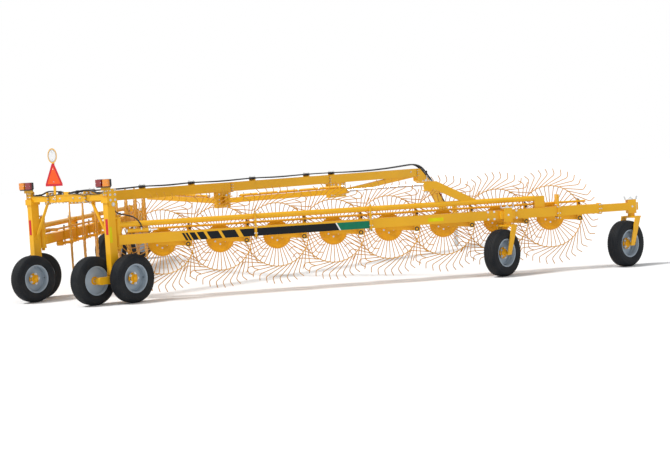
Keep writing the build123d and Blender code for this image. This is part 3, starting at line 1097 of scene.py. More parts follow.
class RAKE_OT_hubs(bpy.types.Operator):
    """Hubs with their caps, wheel nuts, rim lips and valves"""

    bl_idname = "rake.hubs"
    bl_label = "Hubs and wheel nuts"

    def lips(self):
        """Rolled lips of the rim and a bead pressed in its disc"""
        s = sizes()
        bm = bmesh.new()
        for radius, height, thick in (
            (s.rim_radius + 0.0065, 0.080, 0.0055),
            (s.rim_radius + 0.0065, -0.080, 0.0055),
            (0.1635, 0.0138, 0.0035),
            (0.1635, 0.0012, 0.0035),
            (0.181, 0.052, 0.0030),
            (0.181, -0.052, 0.0030),
        ):
            ring = [(radius + p.x, height + p.y) for p in circle(thick, 0, 8)]
            turned(bm, ring, steps=56, loop=True)
        return settle(bm, "lips", ["rim"], 60)

    def hub(self):
        bm = bmesh.new()
        cap = [
            (0.030, 0.038), (0.0565, 0.030), (0.0575, 0.034), (0.0575, 0.0405), (0.052, 0.045),
            (0.036, 0.0465), (0.0345, 0.050), (0.0335, 0.064), (0.027, 0.0715), (0.014, 0.0745),
            (0.0, 0.075),
        ]
        turned(bm, cap, steps=36)
        back = [
            (0.032, -0.0412), (0.0575, -0.0412), (0.0575, 0.0100),
            (0.080, 0.0115), (0.080, 0.0198), (0.032, 0.0198),
        ]
        turned(bm, back, steps=36, loop=True)
        return settle(bm, "hub", ["disc"], 35)

    def execute(self, context):
        circle_r = sizes().nut_circle
        places = []
        for n in range(5):
            a = tau * n / 5
            place = Vector((circle_r * cos(a), circle_r * sin(a), 0))
            places.append((place + upward(0.0300), (0, 0, 1), 0.95))
            places.append((place + upward(0.0115), (0, 0, -1), 0.6))
        nuts = bolts(places, "nuts", "zinc")
        bm = bmesh.new()
        pipe(bm, bent([(0.176, 0, 0.008), (0.170, 0, 0.024), (0.162, 0, 0.052)], 0.01), 0.0042, 8)
        valve = settle(bm, "valve", ["black"], 40)
        whole = gather("hub", self.hub(), self.lips(), nuts, valve)
        for name in road_wheels():
            mesh = whole.copy()
            mesh.transform(road_axes(name))
            piece(f"hub_fittings_{name.replace('wheel_', '')}", mesh, name, "rim_grey")
        return {"FINISHED"}


class RAKE_OT_finger_wheels(bpy.types.Operator):
    """Finger wheels: pressed disc, riveted tines that trail and turn back at the tip, and their hoop"""

    bl_idname = "rake.finger_wheels"
    bl_label = "Finger wheels"

    def tine(self, k):
        """One tine with the clip that ties it to the hoop"""
        s = sizes()
        thick = s.tine_wire / 2

        def polar(radius, angle):
            return Vector((radius * cos(angle), radius * sin(angle), 0))

        path = bent(
            [
                polar(s.disc_radius - 0.022, 0),
                polar(s.ring_radius, 0),
                polar(s.tine_bend, k * s.tine_sweep),
                polar(s.tine_reach - 0.001, k * (s.tine_sweep - s.tip_sweep)),
            ],
            0.034,
            4,
        )
        bm = bmesh.new()
        pipe(bm, path, thick, 6)
        clip = rounded(0.015, 0.016, 0.003, 1)
        plate(bm, clip, -0.0052, 0.0052, Matrix.Translation(polar(s.ring_radius - 0.001, 0)))
        return settle(bm, "tine", ["tine"], 50)

    def rivet(self, radius, size):
        bm = bmesh.new()
        profile = [
            (0.0, -0.0088), (0.5, -0.0080), (0.9, -0.0055), (1.0, -0.002),
            (1.0, 0.002), (0.9, 0.0055), (0.5, 0.0080), (0.0, 0.0088),
        ]
        turned(bm, [(r * size, h) for r, h in profile], Matrix.Translation((radius, 0, 0)), 6)
        return settle(bm, "rivet", ["disc"])

    def disc(self):
        """Disc pressed with two steps and a rolled edge, its hub and the dust cap"""
        edge = sizes().disc_radius
        face = [
            (0.050, 0.0075), (0.062, 0.0045), (0.105, 0.0030), (0.112, 0.0052), (0.119, 0.0052),
            (0.126, 0.0030), (0.158, 0.0030), (0.162, 0.0044), (0.186, 0.0044), (0.190, 0.0034),
            (edge - 0.003, 0.0050), (edge + 0.0005, 0.0030),
        ]
        section = face + [(r, -h) for r, h in reversed(face)]
        bm = bmesh.new()
        turned(bm, section, steps=64, loop=True)
        hub = [
            (0.0, -0.0238), (0.028, -0.0238), (0.030, -0.0215), (0.0445, -0.0215), (0.0455, -0.0195),
            (0.0455, -0.0100), (0.054, -0.0085), (0.054, 0.0085), (0.0455, 0.0100), (0.0440, 0.0140),
            (0.026, 0.0155), (0.024, 0.0225), (0.017, 0.0265), (0.0, 0.0275),
        ]
        turned(bm, hub, steps=28)
        return settle(bm, "disc", ["disc"], 35)

    def hoop(self):
        s = sizes()
        bm = bmesh.new()
        section = [(s.ring_radius + p.x, p.y - 0.0098) for p in circle(0.0065, 0, 8)]
        turned(bm, section, steps=100, loop=True)
        return settle(bm, "hoop", ["ring"], 60)

    def execute(self, context):
        s = sizes()
        for side, k in SIDES.items():
            studs = []
            for n in range(6):
                a = tau * (n + 0.5) / 6
                for way in (1, -1):
                    studs.append((Vector((0.082 * cos(a), 0.082 * sin(a), way * 0.0036)), (0, 0, way), 0.6))
            whole = gather(
                f"finger wheel {side}",
                self.disc(),
                self.hoop(),
                ringed(self.tine(k), s.tines, "tine", radians(0.35)),
                ringed(self.rivet(0.1745, 0.0050), s.tines, "disc"),
                ringed(self.rivet(0.1420, 0.0042), s.tines // 2, "disc"),
                bolts(studs, "studs", "zinc"),
            )
            for n in range(1, 9):
                mesh = whole.copy()
                mesh.transform(finger_axes(n, side))
                name = f"tined_wheel_{n}_{side}"
                piece(name, mesh, f"finger_{n}_{side}", "tine_orange", f"finger_wheel_{n}_{side}")
        return {"FINISHED"}


class RAKE_OT_bolts(bpy.types.Operator):
    """Bolts of the frame's flanges, plates and brackets, and of the arms' joints, one mesh for each body"""

    bl_idname = "rake.bolts"
    bl_label = "Bolts"

    def spine(self):
        places = []
        middle = SPINE_TOP - SPINE_H / 2
        heights = [middle + rise for rise in (-0.055, -0.012, 0.031)]
        for x in SPINE_JOINTS:
            for way in (1, -1):
                face = x + way * 0.012
                if x == SPINE_JOINTS[-1] and way < 0:
                    face = x - 0.024
                places += rows([face], (-0.0745, 0.0745), heights, (way, 0, 0), 0.62)
                places += rows([face], (-0.042, 0, 0.042), [SPINE_TOP - SPINE_H - 0.004], (way, 0, 0), 0.5)
        # Struts' bracket, its pins, the chord's post and the drawbar's foot
        for way in (1, -1):
            out = (0, way, 0)
            places += rows((2.850, 3.070), [way * 0.050], (1.205, 1.255, 1.345), out, 0.7)
            places += rows((5.490, 5.560, 5.775, 5.840), [way * 0.045], (1.170, 1.350), out, 0.7)
            places += rows([STRUT_X], [way * STRUT_Y], [1.312], (0, 0, 1), 1.2)
            places += rows([STRUT_X], [way * STRUT_Y], [1.168], (0, 0, -1), 1.2)
            places += rows((9.10, 9.17), [way * 0.050], [0.42], out, 0.8)
        return places + rows([7.671], [-0.065], [1.468], (0, -1, 0), 0.8)

    def crossbeam(self):
        places = []
        for way in (1, -1):
            for face, aim in ((way * (CROSS_JOINT + 0.010), way), (way * (CROSS_JOINT - 0.010), -way)):
                sides = (UPRIGHT_X - 0.0575, UPRIGHT_X + 0.0575)
                places += rows(sides, [face], (1.418, 1.460, 1.502), (0, aim, 0), 0.7)
                ends = (UPRIGHT_X - 0.030, UPRIGHT_X + 0.030)
                places += rows(ends, [face], (1.528, 1.4062), (0, aim, 0), 0.7)
            for x in (-0.016, 0.096):
                for y in (0.100, 0.185, 0.270, 0.355):
                    places.append((spot(x, way * y, CLAMP_TOP), (0, 0, 1), 0.8))
                    places.append((spot(x, way * y, CLAMP_LOW), (0, 0, -1), 0.8))
            # Rear face of the crossbeam, end plates, braces and hinge pins
            places += rows([-0.030], (way * 0.150, way * 0.300), [1.460], (-1, 0, 0), 0.7)
            places += rows((-0.010, 0.072), [way * END_FACE], (1.418, 1.490, 1.552), (0, way, 0), 0.8)
            for y in (0.483, 0.517):
                for aim in (1, -1):
                    places.append((spot(UPRIGHT_X + aim * 0.030, way * y, 1.394), (aim, 0, 0), 0.55))
            places.append((spot(HINGE_X, way * HALF_GAUGE, 1.210), (0, 0, 1), 1.0))
            # Lamp brackets
            places += rows([BRACKET_X], (way * 0.835, way * 0.885), (1.492, 1.540), (-1, 0, 0), 0.55)
        return places

    def signs(self):
        faces = rows([SIGN_X], [SIGN_Y], (1.70, 1.88, 2.012, 2.125), (-1, 0, 0), 0.42)
        return faces + rows([BRACKET_X], [SIGN_Y], (1.45, 1.49), (-1, 0, 0), 0.6)

    def arm(self, side):
        out = -inward_arm(side)
        along = along_arm(side)
        places = []

        def here(t, off, z):
            return on_arm(side, t, off, z)

        for t in SPLICES:
            heights = (0.770, 0.838, 0.930, 1.029, 1.122)
            if t == SPLICES[-1]:
                heights = (0.770, 0.838, 0.930)
            for way in (1, -1):
                face = [t + way * 0.012]
                places += rows(face, [-0.0845], heights, along * way, 0.66, here)
                places += rows(face, (-0.040, 0.020), (0.955, 0.774), along * way, 0.66, here)
        for face, way in ((TIP_JOINT - 0.010, -1), (TIP_JOINT + 0.008, 1)):
            for z in (0.805, 0.864, 0.924):
                places += rows([face], (-0.0685, 0.0685), [z], along * way, 0.7, here)
        middle = CASTERS[0][1] - 0.060
        plate_at = (middle - 0.212, middle - 0.120, middle + 0.212)
        places += rows(plate_at, [-0.077], (0.812, 0.917), out, 0.75, here)
        for _, t, off in CASTERS:
            places.append((here(t, off - 0.056, 0.865), out, 0.7))
            places.append((here(t, off, 0.983), (0, 0, 1), 1.1))
        # Plates over and under the strut's eye
        places += rows((4.345, 4.425), (0.0, 0.125), [EYE_TOP], (0, 0, 1), 0.7, here)
        places.append((here(EYE_T, 0.100, EYE_TOP), (0, 0, 1), 1.3))
        places.append((here(EYE_T, 0.100, EYE_LOW), (0, 0, -1), 1.3))
        return places

    def lift(self, side):
        """Clamp bolts that stand on the lift tube at each lever"""
        places = []
        for n in range(8):
            t = FIRST_HUB + WHEEL_STEP * n + CRANK_STEP + 0.014
            places.append((on_arm(side, t, LEVER_OFF, 1.010), (0, 0, 1), 0.8))
            places.append((on_arm(side, t + 0.012, LEVER_OFF - 0.005, 0.960), -inward_arm(side), 0.8))
        return places

    def execute(self, context):
        fixed = self.spine() + self.crossbeam() + self.signs()
        piece("bolts_frame", bolts(fixed, "bolts_frame", "zinc"), "frame", "zinc")
        for side in SIDES:
            name = f"bolts_arm_{side}"
            piece(name, bolts(self.arm(side), name, "zinc"), f"arm_{side}", "zinc")
            name = f"lever_bolts_{side}"
            piece(name, bolts(self.lift(side), name, "black"), f"arm_{side}", "zinc")
        return {"FINISHED"}


class RAKE_OT_arm_fittings(bpy.types.Operator):
    """Rims and plates of the arms' joints, bushes of the cranks, end caps and the tops of the casters"""

    bl_idname = "rake.arm_fittings"
    bl_label = "Arm fittings"

    def joint_rims(self, side):
        bm = bmesh.new()
        for t in SPLICES:
            top = 1.135 if t < SPLICES[-1] else 0.945
            rim = [(-0.095, 0.757), (-0.075, 0.757), (-0.075, top), (-0.095, top)]
            foot = [(-0.095, 0.757), (0.045, 0.757), (0.045, 0.788), (-0.095, 0.788)]
            for outline in (rim, foot):
                plate(bm, outline, -0.0123, 0.0123, self.across(side, t), 0.002)
        return settle(bm, f"joint_rims_{side}", ["paint"])

    def across(self, side, t):
        """Matrix square to an arm: x inwards, y up"""
        inward = inward_arm(side)
        return framed(on_arm(side, t, 0, 0), inward, upward(1), inward.cross(upward(1)))

    def bushes(self, side):
        """Dark bush and bright pin at the end of each crank's tube"""
        bm = bmesh.new()
        for n in range(1, 9):
            hub = finger_axes(n, side)
            x_dir, z_dir = hub.col[0].xyz, hub.col[2].xyz
            end = hub.translation + x_dir * CRANK_BACK - z_dir * (CRANK_SIDE + 0.045)
            end.z = CRANK_Z
            at = facing(end, -z_dir)
            ring = [
                (0.0165, -0.002), (0.029, -0.002), (0.031, 0.000),
                (0.031, 0.004), (0.029, 0.006), (0.0165, 0.006),
            ]
            turned(bm, ring, at, 24, loop=True)
            pin = [(0.0, -0.001), (0.0165, -0.001), (0.0165, 0.008), (0.014, 0.011), (0.0, 0.012)]
            turned(bm, pin, at, 20, mark=1)
        return settle(bm, f"crank_bushes_{side}", ["black", "disc"], 40)

    def caster_tops(self, side):
        """Plated saddle with two horns and a round nut on each spindle, and the tube's end cap"""
        bm = bmesh.new()
        for _, t, off in CASTERS:
            at = arm_face(side, t, off, 0.965)
            along = along_arm(side)
            flat = framed(on_arm(side, t, off, 0.965), along, upward(1).cross(along), upward(1))
            plate(bm, rounded(0.190, 0.080, 0.012), 0.0, 0.006, flat)
            for way in (1, -1):
                horn = [(way * 0.080, 0.0), (way * 0.087, 0.0), (way * 0.100, 0.050), (way * 0.093, 0.050)]
                if way < 0:
                    horn = horn[::-1]
                plate(bm, horn, -0.030, 0.030, at)
            nut = [(0.0, 0.004), (0.034, 0.004), (0.034, 0.014), (0.030, 0.018), (0.0, 0.018)]
            turned(bm, nut, flat, 24)
        cap = rounded(0.106, 0.106, 0.010)
        plate(bm, cap, 0.0, 0.005, self.across_end(side), 0.0015)
        return settle(bm, f"caster_tops_{side}", ["zinc"], 35)

    def across_end(self, side):
        middle = on_arm(side, TIP_END, 0, (BEAM_LOW + BEAM_TOP) / 2)
        return axes(middle, (0, 0, 1), along_arm(side))

    def plates(self, side):
        """Tip tube's flange, the rear caster's plate, and the two plates over and under the strut's eye"""
        bm = bmesh.new()
        flange = axes(on_arm(side, TIP_JOINT, 0, (BEAM_LOW + BEAM_TOP) / 2), (0, 0, 1), along_arm(side))
        plate(bm, rounded(0.160, 0.158, 0.006), -0.010, 0.008, flange, 0.002)
        face = arm_face(side, 5.433, -BEAM_W / 2, 0.8645)
        plate(bm, rounded(0.430, 0.120, 0.010), -0.002, 0.012, face, 0.002)
        for low, high in ((1.398, EYE_TOP), (EYE_LOW, 1.282)):
            at = axes(on_arm(side, EYE_T, 0.060, 0), along_arm(side), (0, 0, 1))
            plate(bm, rounded(0.120, 0.160, 0.030), low, high, at, 0.002)
        web = axes(on_arm(side, EYE_T, 0, 0), along_arm(side), (0, 0, 1))
        plate(bm, rounded(0.112, 0.036, 0.004), 1.276, 1.312, web, 0.001)
        return settle(bm, f"arm_plates_{side}", ["paint"], 30)

    def execute(self, context):
        for side in SIDES:
            body = f"arm_{side}"
            for mesh, slot in (
                (self.joint_rims(side), "paint_yellow"),
                (self.plates(side), "paint_yellow"),
                (self.bushes(side), "paint_yellow"),
                (self.caster_tops(side), "zinc"),
            ):
                piece(mesh.name, mesh, body, slot)
        return {"FINISHED"}


class RAKE_OT_bands(bpy.types.Operator):
    """Slanted stripes, band, blank panel and label along the outer face of each beam"""

    bl_idname = "rake.bands"
    bl_label = "Stripes and panels"

    def execute(self, context):
        lean = sizes().stripe_slant
        low, high = 0.799, 0.905
        # (start, end, lean at the start, lean at the end, finish)
        strips = (
            (0.856, 0.890, lean, lean, 0),
            (0.904, 0.936, lean, lean, 0),
            (0.959, 1.032, lean, lean, 0),
            (1.060, 1.154, lean, lean, 0),
            (1.196, 1.356, lean, lean, 0),
            (1.398, 1.590, lean, lean, 0),
            (1.653, 1.862, lean, 0, 0),
            (1.898, 3.004, 0, lean, 0),
            (3.004, 3.025, lean, lean, 1),
            (3.025, 3.492, lean, 0, 2),
        )
        for side in SIDES:
            bm = bmesh.new()
            face = arm_face(side, 0, -BEAM_W / 2, 0)
            for start, end, first, last, mark in strips:
                outline = [(start + first, low), (end + last, low), (end, high), (start, high)]
                plate(bm, outline, -0.0002, 0.0006, face, 0.0003, mark)
            label = [(4.340, 0.834), (4.564, 0.834), (4.564, 0.885), (4.340, 0.885)]
            plate(bm, label, -0.0002, 0.0006, face, 0.0003, 3)
            name = f"beam_bands_{side}"
            films = ["band_black", "band_white", "band_green", "label"]
            piece(name, settle(bm, name, films), f"arm_{side}", "paint_yellow")
        return {"FINISHED"}


class RAKE_OT_hose_clamps(bpy.types.Operator):
    """Moulded clamps that hold the hoses on the spine and the drawbar, with plates, seats and screws"""

    bl_idname = "rake.hose_clamps"
    bl_label = "Hose clamps"

    def execute(self, context):
        places = [(spot(x, 0, z - 0.003), Vector((1, 0, 0)), upward(1)) for x, z in HELD_AT]
        fall = Vector((0.170, 0, -0.205)).normalized()
        places.append((spot(8.475, 0, 1.1135), fall, Vector((0.205, 0, 0.170)).normalized()))
        bm = bmesh.new()
        screws = []
        for middle, way, up in places:
            at = axes(middle, way.cross(up), way)
            off = Matrix.Translation((0, 0.003 if up.z > 0 else -0.003, 0))
            plate(bm, rounded(0.124, 0.040, 0.008), -0.018, 0.018, at @ off, 0.002)
            deep = 0.012 + (middle.z - 1.529 if up.z == 1 else 0.012)
            seat = axes(middle - up * (0.018 + deep / 2), way.cross(up), way)
            plate(bm, rounded(0.116, deep, 0.003), -0.018, 0.018, seat, 0.001, 2)
            lid = axes(middle + up * 0.0225, way, up)
            plate(bm, rounded(0.034, 0.120, 0.004), 0.0, 0.003, lid, 0.0008, 1)
            for y in (-0.048, 0.048):
                screws.append((middle + up * 0.0255 + Vector((0, y, 0)), up, 0.5))
        blocks = settle(bm, "clamps", ["black", "zinc", "paint"], 30)
        whole = gather("hose_clamps", blocks, bolts(screws, "screws", "zinc"))
        piece("hose_clamps", whole, "frame", "tyre")
        self.sleeves()
        return {"FINISHED"}

    def sleeves(self):
        """Red sleeves on the hoses where they run down the drawbar"""
        bm = bmesh.new()
        for y in (-0.044, -0.022, 0.022, 0.044):
            shift = 0.03 if abs(y) < 0.03 else 0.0
            start = spot(8.500 + shift, y, 1.083 - shift * 1.21)
            end = spot(8.610 + shift / 2, y, 0.950 - shift * 0.6)
            way = (end - start).normalized()
            reach = (end - start).length
            grip = [(0.0095, 0.0), (0.0125, 0.002), (0.0125, reach - 0.002), (0.0095, reach)]
            turned(bm, grip, facing(start, way), 16, loop=True)
        fitted(bm, "hose_sleeves", ["grip"], 40, "frame", "tyre")


class RAKE_OT_lamps(bpy.types.Operator):
    """Lamps' black housings, bases and screws, and the leads and hoses along the crossbeam"""

    bl_idname = "rake.lamps"
    bl_label = "Lamps and wiring"

    def execute(self, context):
        bm = bmesh.new()
        screws = []
        for k in SIDES.values():
            for _, out in LAMPS:
                middle = spot(BRACKET_X, -k * (HALF_GAUGE + out), 1.655)
                at = axes(middle, (0, -1, 0), (-1, 0, 0))
                plate(bm, rounded(0.121, 0.101, 0.010), -0.004, 0.030, at, 0.003)
                for way in (1, -1):
                    screws.append((middle + Vector((-0.060, way * 0.046, 0)), (-1, 0, 0), 0.26))
            base = axes(spot(-0.066, -k * (HALF_GAUGE + 0.015), 1.600), (0, 1, 0), (0, 0, 1))
            plate(bm, rounded(0.262, 0.050, 0.008), -0.008, 0.006, base, 0.002)
            # Lead down the bracket, then along the crossbeam to the middle
            top = spot(-0.026, -k * 0.800, 1.640)
            path = [
                top,
                top + Vector((0.014, 0, 0)),
                spot(-0.014, -k * 0.800, 1.530),
                spot(-0.036, -k * 0.740, 1.508),
                spot(-0.036, -k * 0.520, 1.506),
                spot(-0.062, -k * 0.470, 1.500),
                spot(-0.062, -k * 0.400, 1.500),
                spot(-0.036, -k * 0.350, 1.506),
                spot(-0.036, -k * 0.050, 1.530),
                spot(-0.020, -k * 0.050, 1.534),
            ]
            pipe(bm, bent(path, 0.03), 0.0055, 8)
        blocks = settle(bm, "lamp_housings", ["black"], 35)
        whole = gather("lamp_housings", blocks, bolts(screws, "lens screws", "zinc"))
        piece("lamp_housings", whole, "frame", "tyre")
        self.feeds()
        return {"FINISHED"}

    def feeds(self):
        """Two hoses from the block on the spine to each upright, held by clips on the crossbeam"""
        bm = bmesh.new()
        ferrule = [
            (0.0, -0.030), (0.0125, -0.030), (0.0125, 0.0),
            (0.015, 0.001), (0.015, 0.018), (0.0, 0.018),
        ]
        for k in SIDES.values():
            for gap in (0.0, 0.022):
                path = [
                    spot(-0.012 + gap, -k * 0.050, 1.534),
                    spot(-0.006 + gap, -k * 0.120, 1.548),
                    spot(0.006 + gap, -k * 0.360, 1.566),
                    spot(0.006 + gap, -k * 0.480, 1.566),
                    spot(0.004 + gap, -k * 0.620, 1.520),
                    spot(0.004 + gap, -k * 0.780, 1.514),
                ]
                pipe(bm, bent(path, 0.10, 6), 0.009, 10)
                end = facing(path[-1] + Vector((0, k * 0.002, 0)), (0, -k, 0))
                turned(bm, ferrule, end, 14, mark=1)
            for y, z in ((0.20, 1.5545), (0.66, 1.518)):
                top = z + 0.013
                clip = axes(spot(0.012, -k * y, (1.500 + top) / 2), (1, 0, 0), (0, 1, 0))
                plate(bm, rounded(0.054, top - 1.500, 0.008), -0.010, 0.010, clip, 0.002, 2)
        pieces = settle(bm, "crossbeam_hoses", ["hose", "zinc", "black"], 40)
        piece("crossbeam_hoses", pieces, "frame", "tyre")


class RAKE_OT_signs(bpy.types.Operator):
    """Border of the triangle, rim of the round sign, and reflectors on the uprights"""

    bl_idname = "rake.signs"
    bl_label = "Signs and reflectors"

    def execute(self, context):
        bm = bmesh.new()
        half, cut, foot, height = 0.192, 0.024, 0.032, 0.315
        outline = [(-half, 0), (half, 0), (half, foot), (cut, height), (-cut, height), (-half, foot)]
        inside = [
            (-0.150, 0.030), (0.150, 0.030), (0.146, 0.046),
            (0.010, 0.272), (-0.010, 0.272), (-0.146, 0.046),
        ]
        at = axes(spot(SIGN_X, SIGN_Y, TRIANGLE_Z), (0, -1, 0), (-1, 0, 0))
        rings = [
            [(x, y, 0.0) for x, y in outline],
            [(x, y, 0.0012) for x, y in outline],
            [(x, y, 0.0012) for x, y in inside],
            [(x, y, 0.0) for x, y in inside],
        ]
        skin(bm, rings, at, loop=True)
        disc = axes(spot(SIGN_X, SIGN_Y, ROUND_SIGN_Z), (0, -1, 0), (-1, 0, 0))
        turned(bm, [(0.090, 0), (0.1048, 0), (0.1048, 0.0012), (0.090, 0.0012)], disc, 48, loop=True, mark=1)
        turned(bm, [(0.080, 0), (0.084, 0), (0.084, 0.0008), (0.080, 0.0008)], disc, 48, loop=True, mark=2)
        marks = ["red_border", "paint", "band_black"]
        fitted(bm, "sign_faces", marks, 30, "frame", "triangle_orange")
        bm = bmesh.new()
        for k in SIDES.values():
            rear = axes(spot(UPRIGHT_X - UPRIGHT_L / 2, -k * 0.868, 1.055), (0, 0, 1), (-1, 0, 0))
            plate(bm, rounded(0.215, 0.048, 0.004), -0.001, 0.0030, rear, 0.001, 0)
            outer = axes(spot(-0.022, -k * (HALF_GAUGE + UPRIGHT_W / 2), 0.948), (0, 0, 1), (0, -k, 0))
            plate(bm, rounded(0.215, 0.042, 0.004), -0.001, 0.0030, outer, 0.001, 1)
        pair = ["red_border", "reflector"]
        piece("reflectors", settle(bm, "reflectors", pair), "frame", "lamp_red")
        return {"FINISHED"}


class RAKE_OT_frame_fittings(bpy.types.Operator):
    """End and clamp plates with their pins, walking beams' pivots, the jack's head and crank, and a handle"""

    bl_idname = "rake.frame_fittings"
    bl_label = "Frame fittings"

    def execute(self, context):
        bm = bmesh.new()
        pin_head = [
            (0.0, -0.002), (0.027, -0.002), (0.027, 0.004), (0.020, 0.005),
            (0.019, 0.016), (0.014, 0.020), (0.0, 0.021),
        ]
        pivot = [(0.0, -0.002), (0.034, -0.002), (0.034, 0.004), (0.020, 0.005), (0.019, 0.010), (0.0, 0.011)]
        for k in SIDES.values():
            pin = facing(spot(0.034, -k * END_FACE, 1.357), (0, -k, 0))
            turned(bm, pin_head, pin, 28)
            for out in (1, -1):
                face = facing(spot(UPRIGHT_X, -k * (HALF_GAUGE + out * 0.055), 0.335), (0, -k * out, 0))
                turned(bm, pivot, face, 24)
            ending = axes(spot(0.031, -k * 0.926, 1.450), (0, 0, 1), (0, -k, 0))
            plate(bm, rounded(0.240, 0.140, 0.016), -0.006, 0.006, ending, 0.002, 2)
            for low, high in ((1.500, CLAMP_TOP), (CLAMP_LOW, 1.420)):
                level = axes(spot(0.040, -k * 0.230, 0), (1, 0, 0), (0, 0, 1))
                plate(bm, rounded(0.150, 0.345, 0.008), low, high, level, 0.002, 2)
        joint = axes(spot(SPINE_JOINTS[-1], 0, SPINE_TOP - 0.0775), (0, 1, 0), (1, 0, 0))
        plate(bm, rounded(0.166, 0.155, 0.006), 0.0, 0.012, joint, 0.002, 2)
        cap = axes(spot(JACK_X, JACK_Y, 0), (1, 0, 0), (0, 0, 1))
        walls = ((0.082, 0.010, 0.740), (0.082, 0.010, 0.816), (0.062, 0.002, 0.816), (0.062, 0.002, 0.740))
        rings = [[p + upward(z) for p in rounded(wide, wide, corner)] for wide, corner, z in walls]
        skin(bm, rings, cap, loop=True, mark=2)
        plate(bm, rounded(0.082, 0.082, 0.010), 0.815, 0.824, cap, 0.003, 2)
        # Jack: crank and grip
        head = spot(JACK_X, JACK_Y, 0.832)
        crank = [(0, 0, -0.01), (0, 0, 0.016), (0, -0.140, 0.016), (0, -0.140, 0.040)]
        pipe(bm, bent([head + Vector(p) for p in crank], 0.016), 0.0075, 10)
        grip = facing(head + Vector((0, -0.140, 0.034)), (0, 0, 1))
        swell = [
            (0.0, 0.0), (0.014, 0.0), (0.017, 0.012), (0.015, 0.050),
            (0.017, 0.088), (0.012, 0.096), (0.0, 0.098),
        ]
        turned(bm, swell, grip, 16, mark=1)
        # Handle on the drawbar's side, for the parked hoses
        foot = spot(8.130, -0.050, 1.330)
        handle = [(0, 0.004, -0.03), (0, -0.020, -0.03), (0.006, -0.020, 0.075)]
        pipe(bm, bent([foot + Vector(p) for p in handle], 0.012), 0.0065, 8)
        knob = facing(foot + Vector((0.004, -0.020, 0.060)), (0.06, 0, 1))
        swell = [
            (0.0, 0.0), (0.012, 0.0), (0.015, 0.010), (0.013, 0.045),
            (0.016, 0.070), (0.010, 0.080), (0.0, 0.082),
        ]
        turned(bm, swell, knob, 14, mark=1)
        metals = ["zinc", "black", "paint"]
        fitted(bm, "frame_fittings", metals, 35, "frame", "zinc")
        return {"FINISHED"}


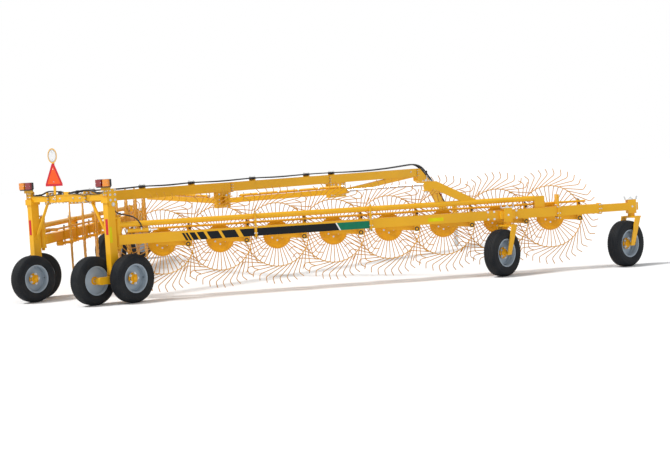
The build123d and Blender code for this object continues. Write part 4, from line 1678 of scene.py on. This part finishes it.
class RAKE_OT_cylinders(bpy.types.Operator):
    """Barrels, glands, rods, ports and valve handles of the lift cylinders and the struts' cylinders"""

    bl_idname = "rake.cylinders"
    bl_label = "Cylinder fittings"

    def lift(self, side):
        bm = bmesh.new()
        start = on_arm(side, 0, LIFT_OFF, LIFT_Z)
        way = along_arm(side)
        at = facing(start, way)
        # Cap, gland and barrel, then the rod
        cap = [(0.0, 0.105), (0.031, 0.105), (0.033, 0.109), (0.033, 0.122), (0.0305, 0.124), (0.0, 0.124)]
        gland = [(0.0, 0.412), (0.033, 0.412), (0.033, 0.430), (0.026, 0.436), (0.026, 0.446), (0.0, 0.446)]
        turned(bm, cap, at, 28)
        turned(bm, gland, at, 28)
        rod(bm, 0.030, 0.118, 0.418, at, 28, 2)
        rod(bm, 0.011, 0.44, 0.530, at, 18, 1)
        link = axes(on_arm(side, 0.540, 0.026, LIFT_Z), inward_arm(side), way)
        plate(bm, rounded(0.130, 0.046, 0.018), -0.012, 0.012, link, 0.002, 2)
        # Valve with its red handle
        seat = on_arm(side, 0.220, LIFT_OFF, 1.004)
        body = [(0.0, 0.0), (0.016, 0.0), (0.016, 0.014), (0.010, 0.020), (0.0, 0.020)]
        turned(bm, body, Matrix.Translation(seat), 6)
        pipe(bm, [seat + upward(0.012), seat + upward(0.040)], 0.005, 8)
        lever = axes(seat + upward(0.058), (0, 0, 1), inward_arm(side))
        plate(bm, rounded(0.052, 0.018, 0.006), -0.005, 0.005, lever, 0.0015, 3)
        marks = ["zinc", "chrome", "paint", "grip"]
        return settle(bm, f"lift_cylinder_fittings_{side}", marks, 38)

    def strut(self, side, k):
        bm = bmesh.new()
        base = spot(STRUT_X, -k * STRUT_Y, 1.240)
        way = (on_arm(side, 4.384, 0.100, 1.365) - base).normalized()
        across = way.cross(upward(1)).normalized()
        up = across.cross(way)
        line = base + up * 0.066
        at = facing(line, way)
        rod(bm, 0.022, 0.247, 0.266, at, 24)
        gland = [(0.0, 2.095), (0.024, 2.095), (0.024, 2.130), (0.016, 2.134), (0.016, 2.140), (0.0, 2.140)]
        turned(bm, gland, at, 24)
        rod(bm, 0.0205, 0.262, 2.100, at, 24, 1)
        for reach in (0.310, 2.060):
            block = axes(base + up * 0.050 + way * reach, across, way)
            plate(bm, rounded(0.046, 0.034, 0.004), -0.014, 0.014, block, 0.002, 1)
        port = [(0.0, 0.0), (0.012, 0.0), (0.012, 0.012), (0.009, 0.014), (0.009, 0.028), (0.0, 0.028)]
        for reach in (0.330, 2.030):
            turned(bm, port, facing(line + way * reach + up * 0.018, up), 6)
        for reach in (0.62, 0.98, 1.34, 1.70):
            band = axes(line + way * reach, across, way)
            strap = [(0.0205, -0.009), (0.0225, -0.009), (0.0225, 0.009), (0.0205, 0.009)]
            turned(bm, strap, band, 24, loop=True)
        return settle(bm, f"strut_cylinder_fittings_{side}", ["zinc", "paint"], 38)

    def execute(self, context):
        for side, k in SIDES.items():
            lift = self.lift(side)
            piece(lift.name, lift, f"arm_{side}", "zinc")
            strut = self.strut(side, k)
            piece(strut.name, strut, f"strut_{side}", "zinc")
        return {"FINISHED"}


OPERATORS = (
    RAKE_OT_stage,
    RAKE_OT_lift_hoses,
    RAKE_OT_spine_hoses,
    RAKE_OT_finish,
    RAKE_OT_tyres,
    RAKE_OT_hubs,
    RAKE_OT_finger_wheels,
    RAKE_OT_bolts,
    RAKE_OT_arm_fittings,
    RAKE_OT_bands,
    RAKE_OT_hose_clamps,
    RAKE_OT_lamps,
    RAKE_OT_signs,
    RAKE_OT_frame_fittings,
    RAKE_OT_cylinders,
)


class RAKE_PT_panel(bpy.types.Panel):
    """Sizes, colours and the steps that finish the rake"""

    bl_idname = "RAKE_PT_panel"
    bl_label = "Wheel rake"
    bl_space_type = "VIEW_3D"
    bl_region_type = "UI"
    bl_category = "Rake"

    def draw(self, context):
        column = self.layout.column()
        for kind in OPERATORS:
            column.operator(kind.bl_idname)
        for group in (context.scene.rake_sizes, context.scene.rake_colours):
            box = self.layout.box().column()
            for name in group.__annotations__:
                box.prop(group, name)


CLASSES = (RakeSizes, RakeColours, *OPERATORS, RAKE_PT_panel)


def register():
    for kind in CLASSES:
        bpy.utils.register_class(kind)
    bpy.types.Scene.rake_sizes = PointerProperty(type=RakeSizes)
    bpy.types.Scene.rake_colours = PointerProperty(type=RakeColours)


def unregister():
    del bpy.types.Scene.rake_colours
    del bpy.types.Scene.rake_sizes
    for kind in reversed(CLASSES):
        bpy.utils.unregister_class(kind)


def main():
    register()
    bpy.ops.rake.stage()
    bpy.ops.rake.lift_hoses()
    bpy.ops.rake.spine_hoses()
    bpy.ops.rake.finish()
    bpy.ops.rake.tyres()
    bpy.ops.rake.hubs()
    bpy.ops.rake.finger_wheels()
    bpy.ops.rake.bolts()
    bpy.ops.rake.arm_fittings()
    bpy.ops.rake.bands()
    bpy.ops.rake.hose_clamps()
    bpy.ops.rake.lamps()
    bpy.ops.rake.signs()
    bpy.ops.rake.frame_fittings()
    bpy.ops.rake.cylinders()


if __name__ == "__main__":
    main()
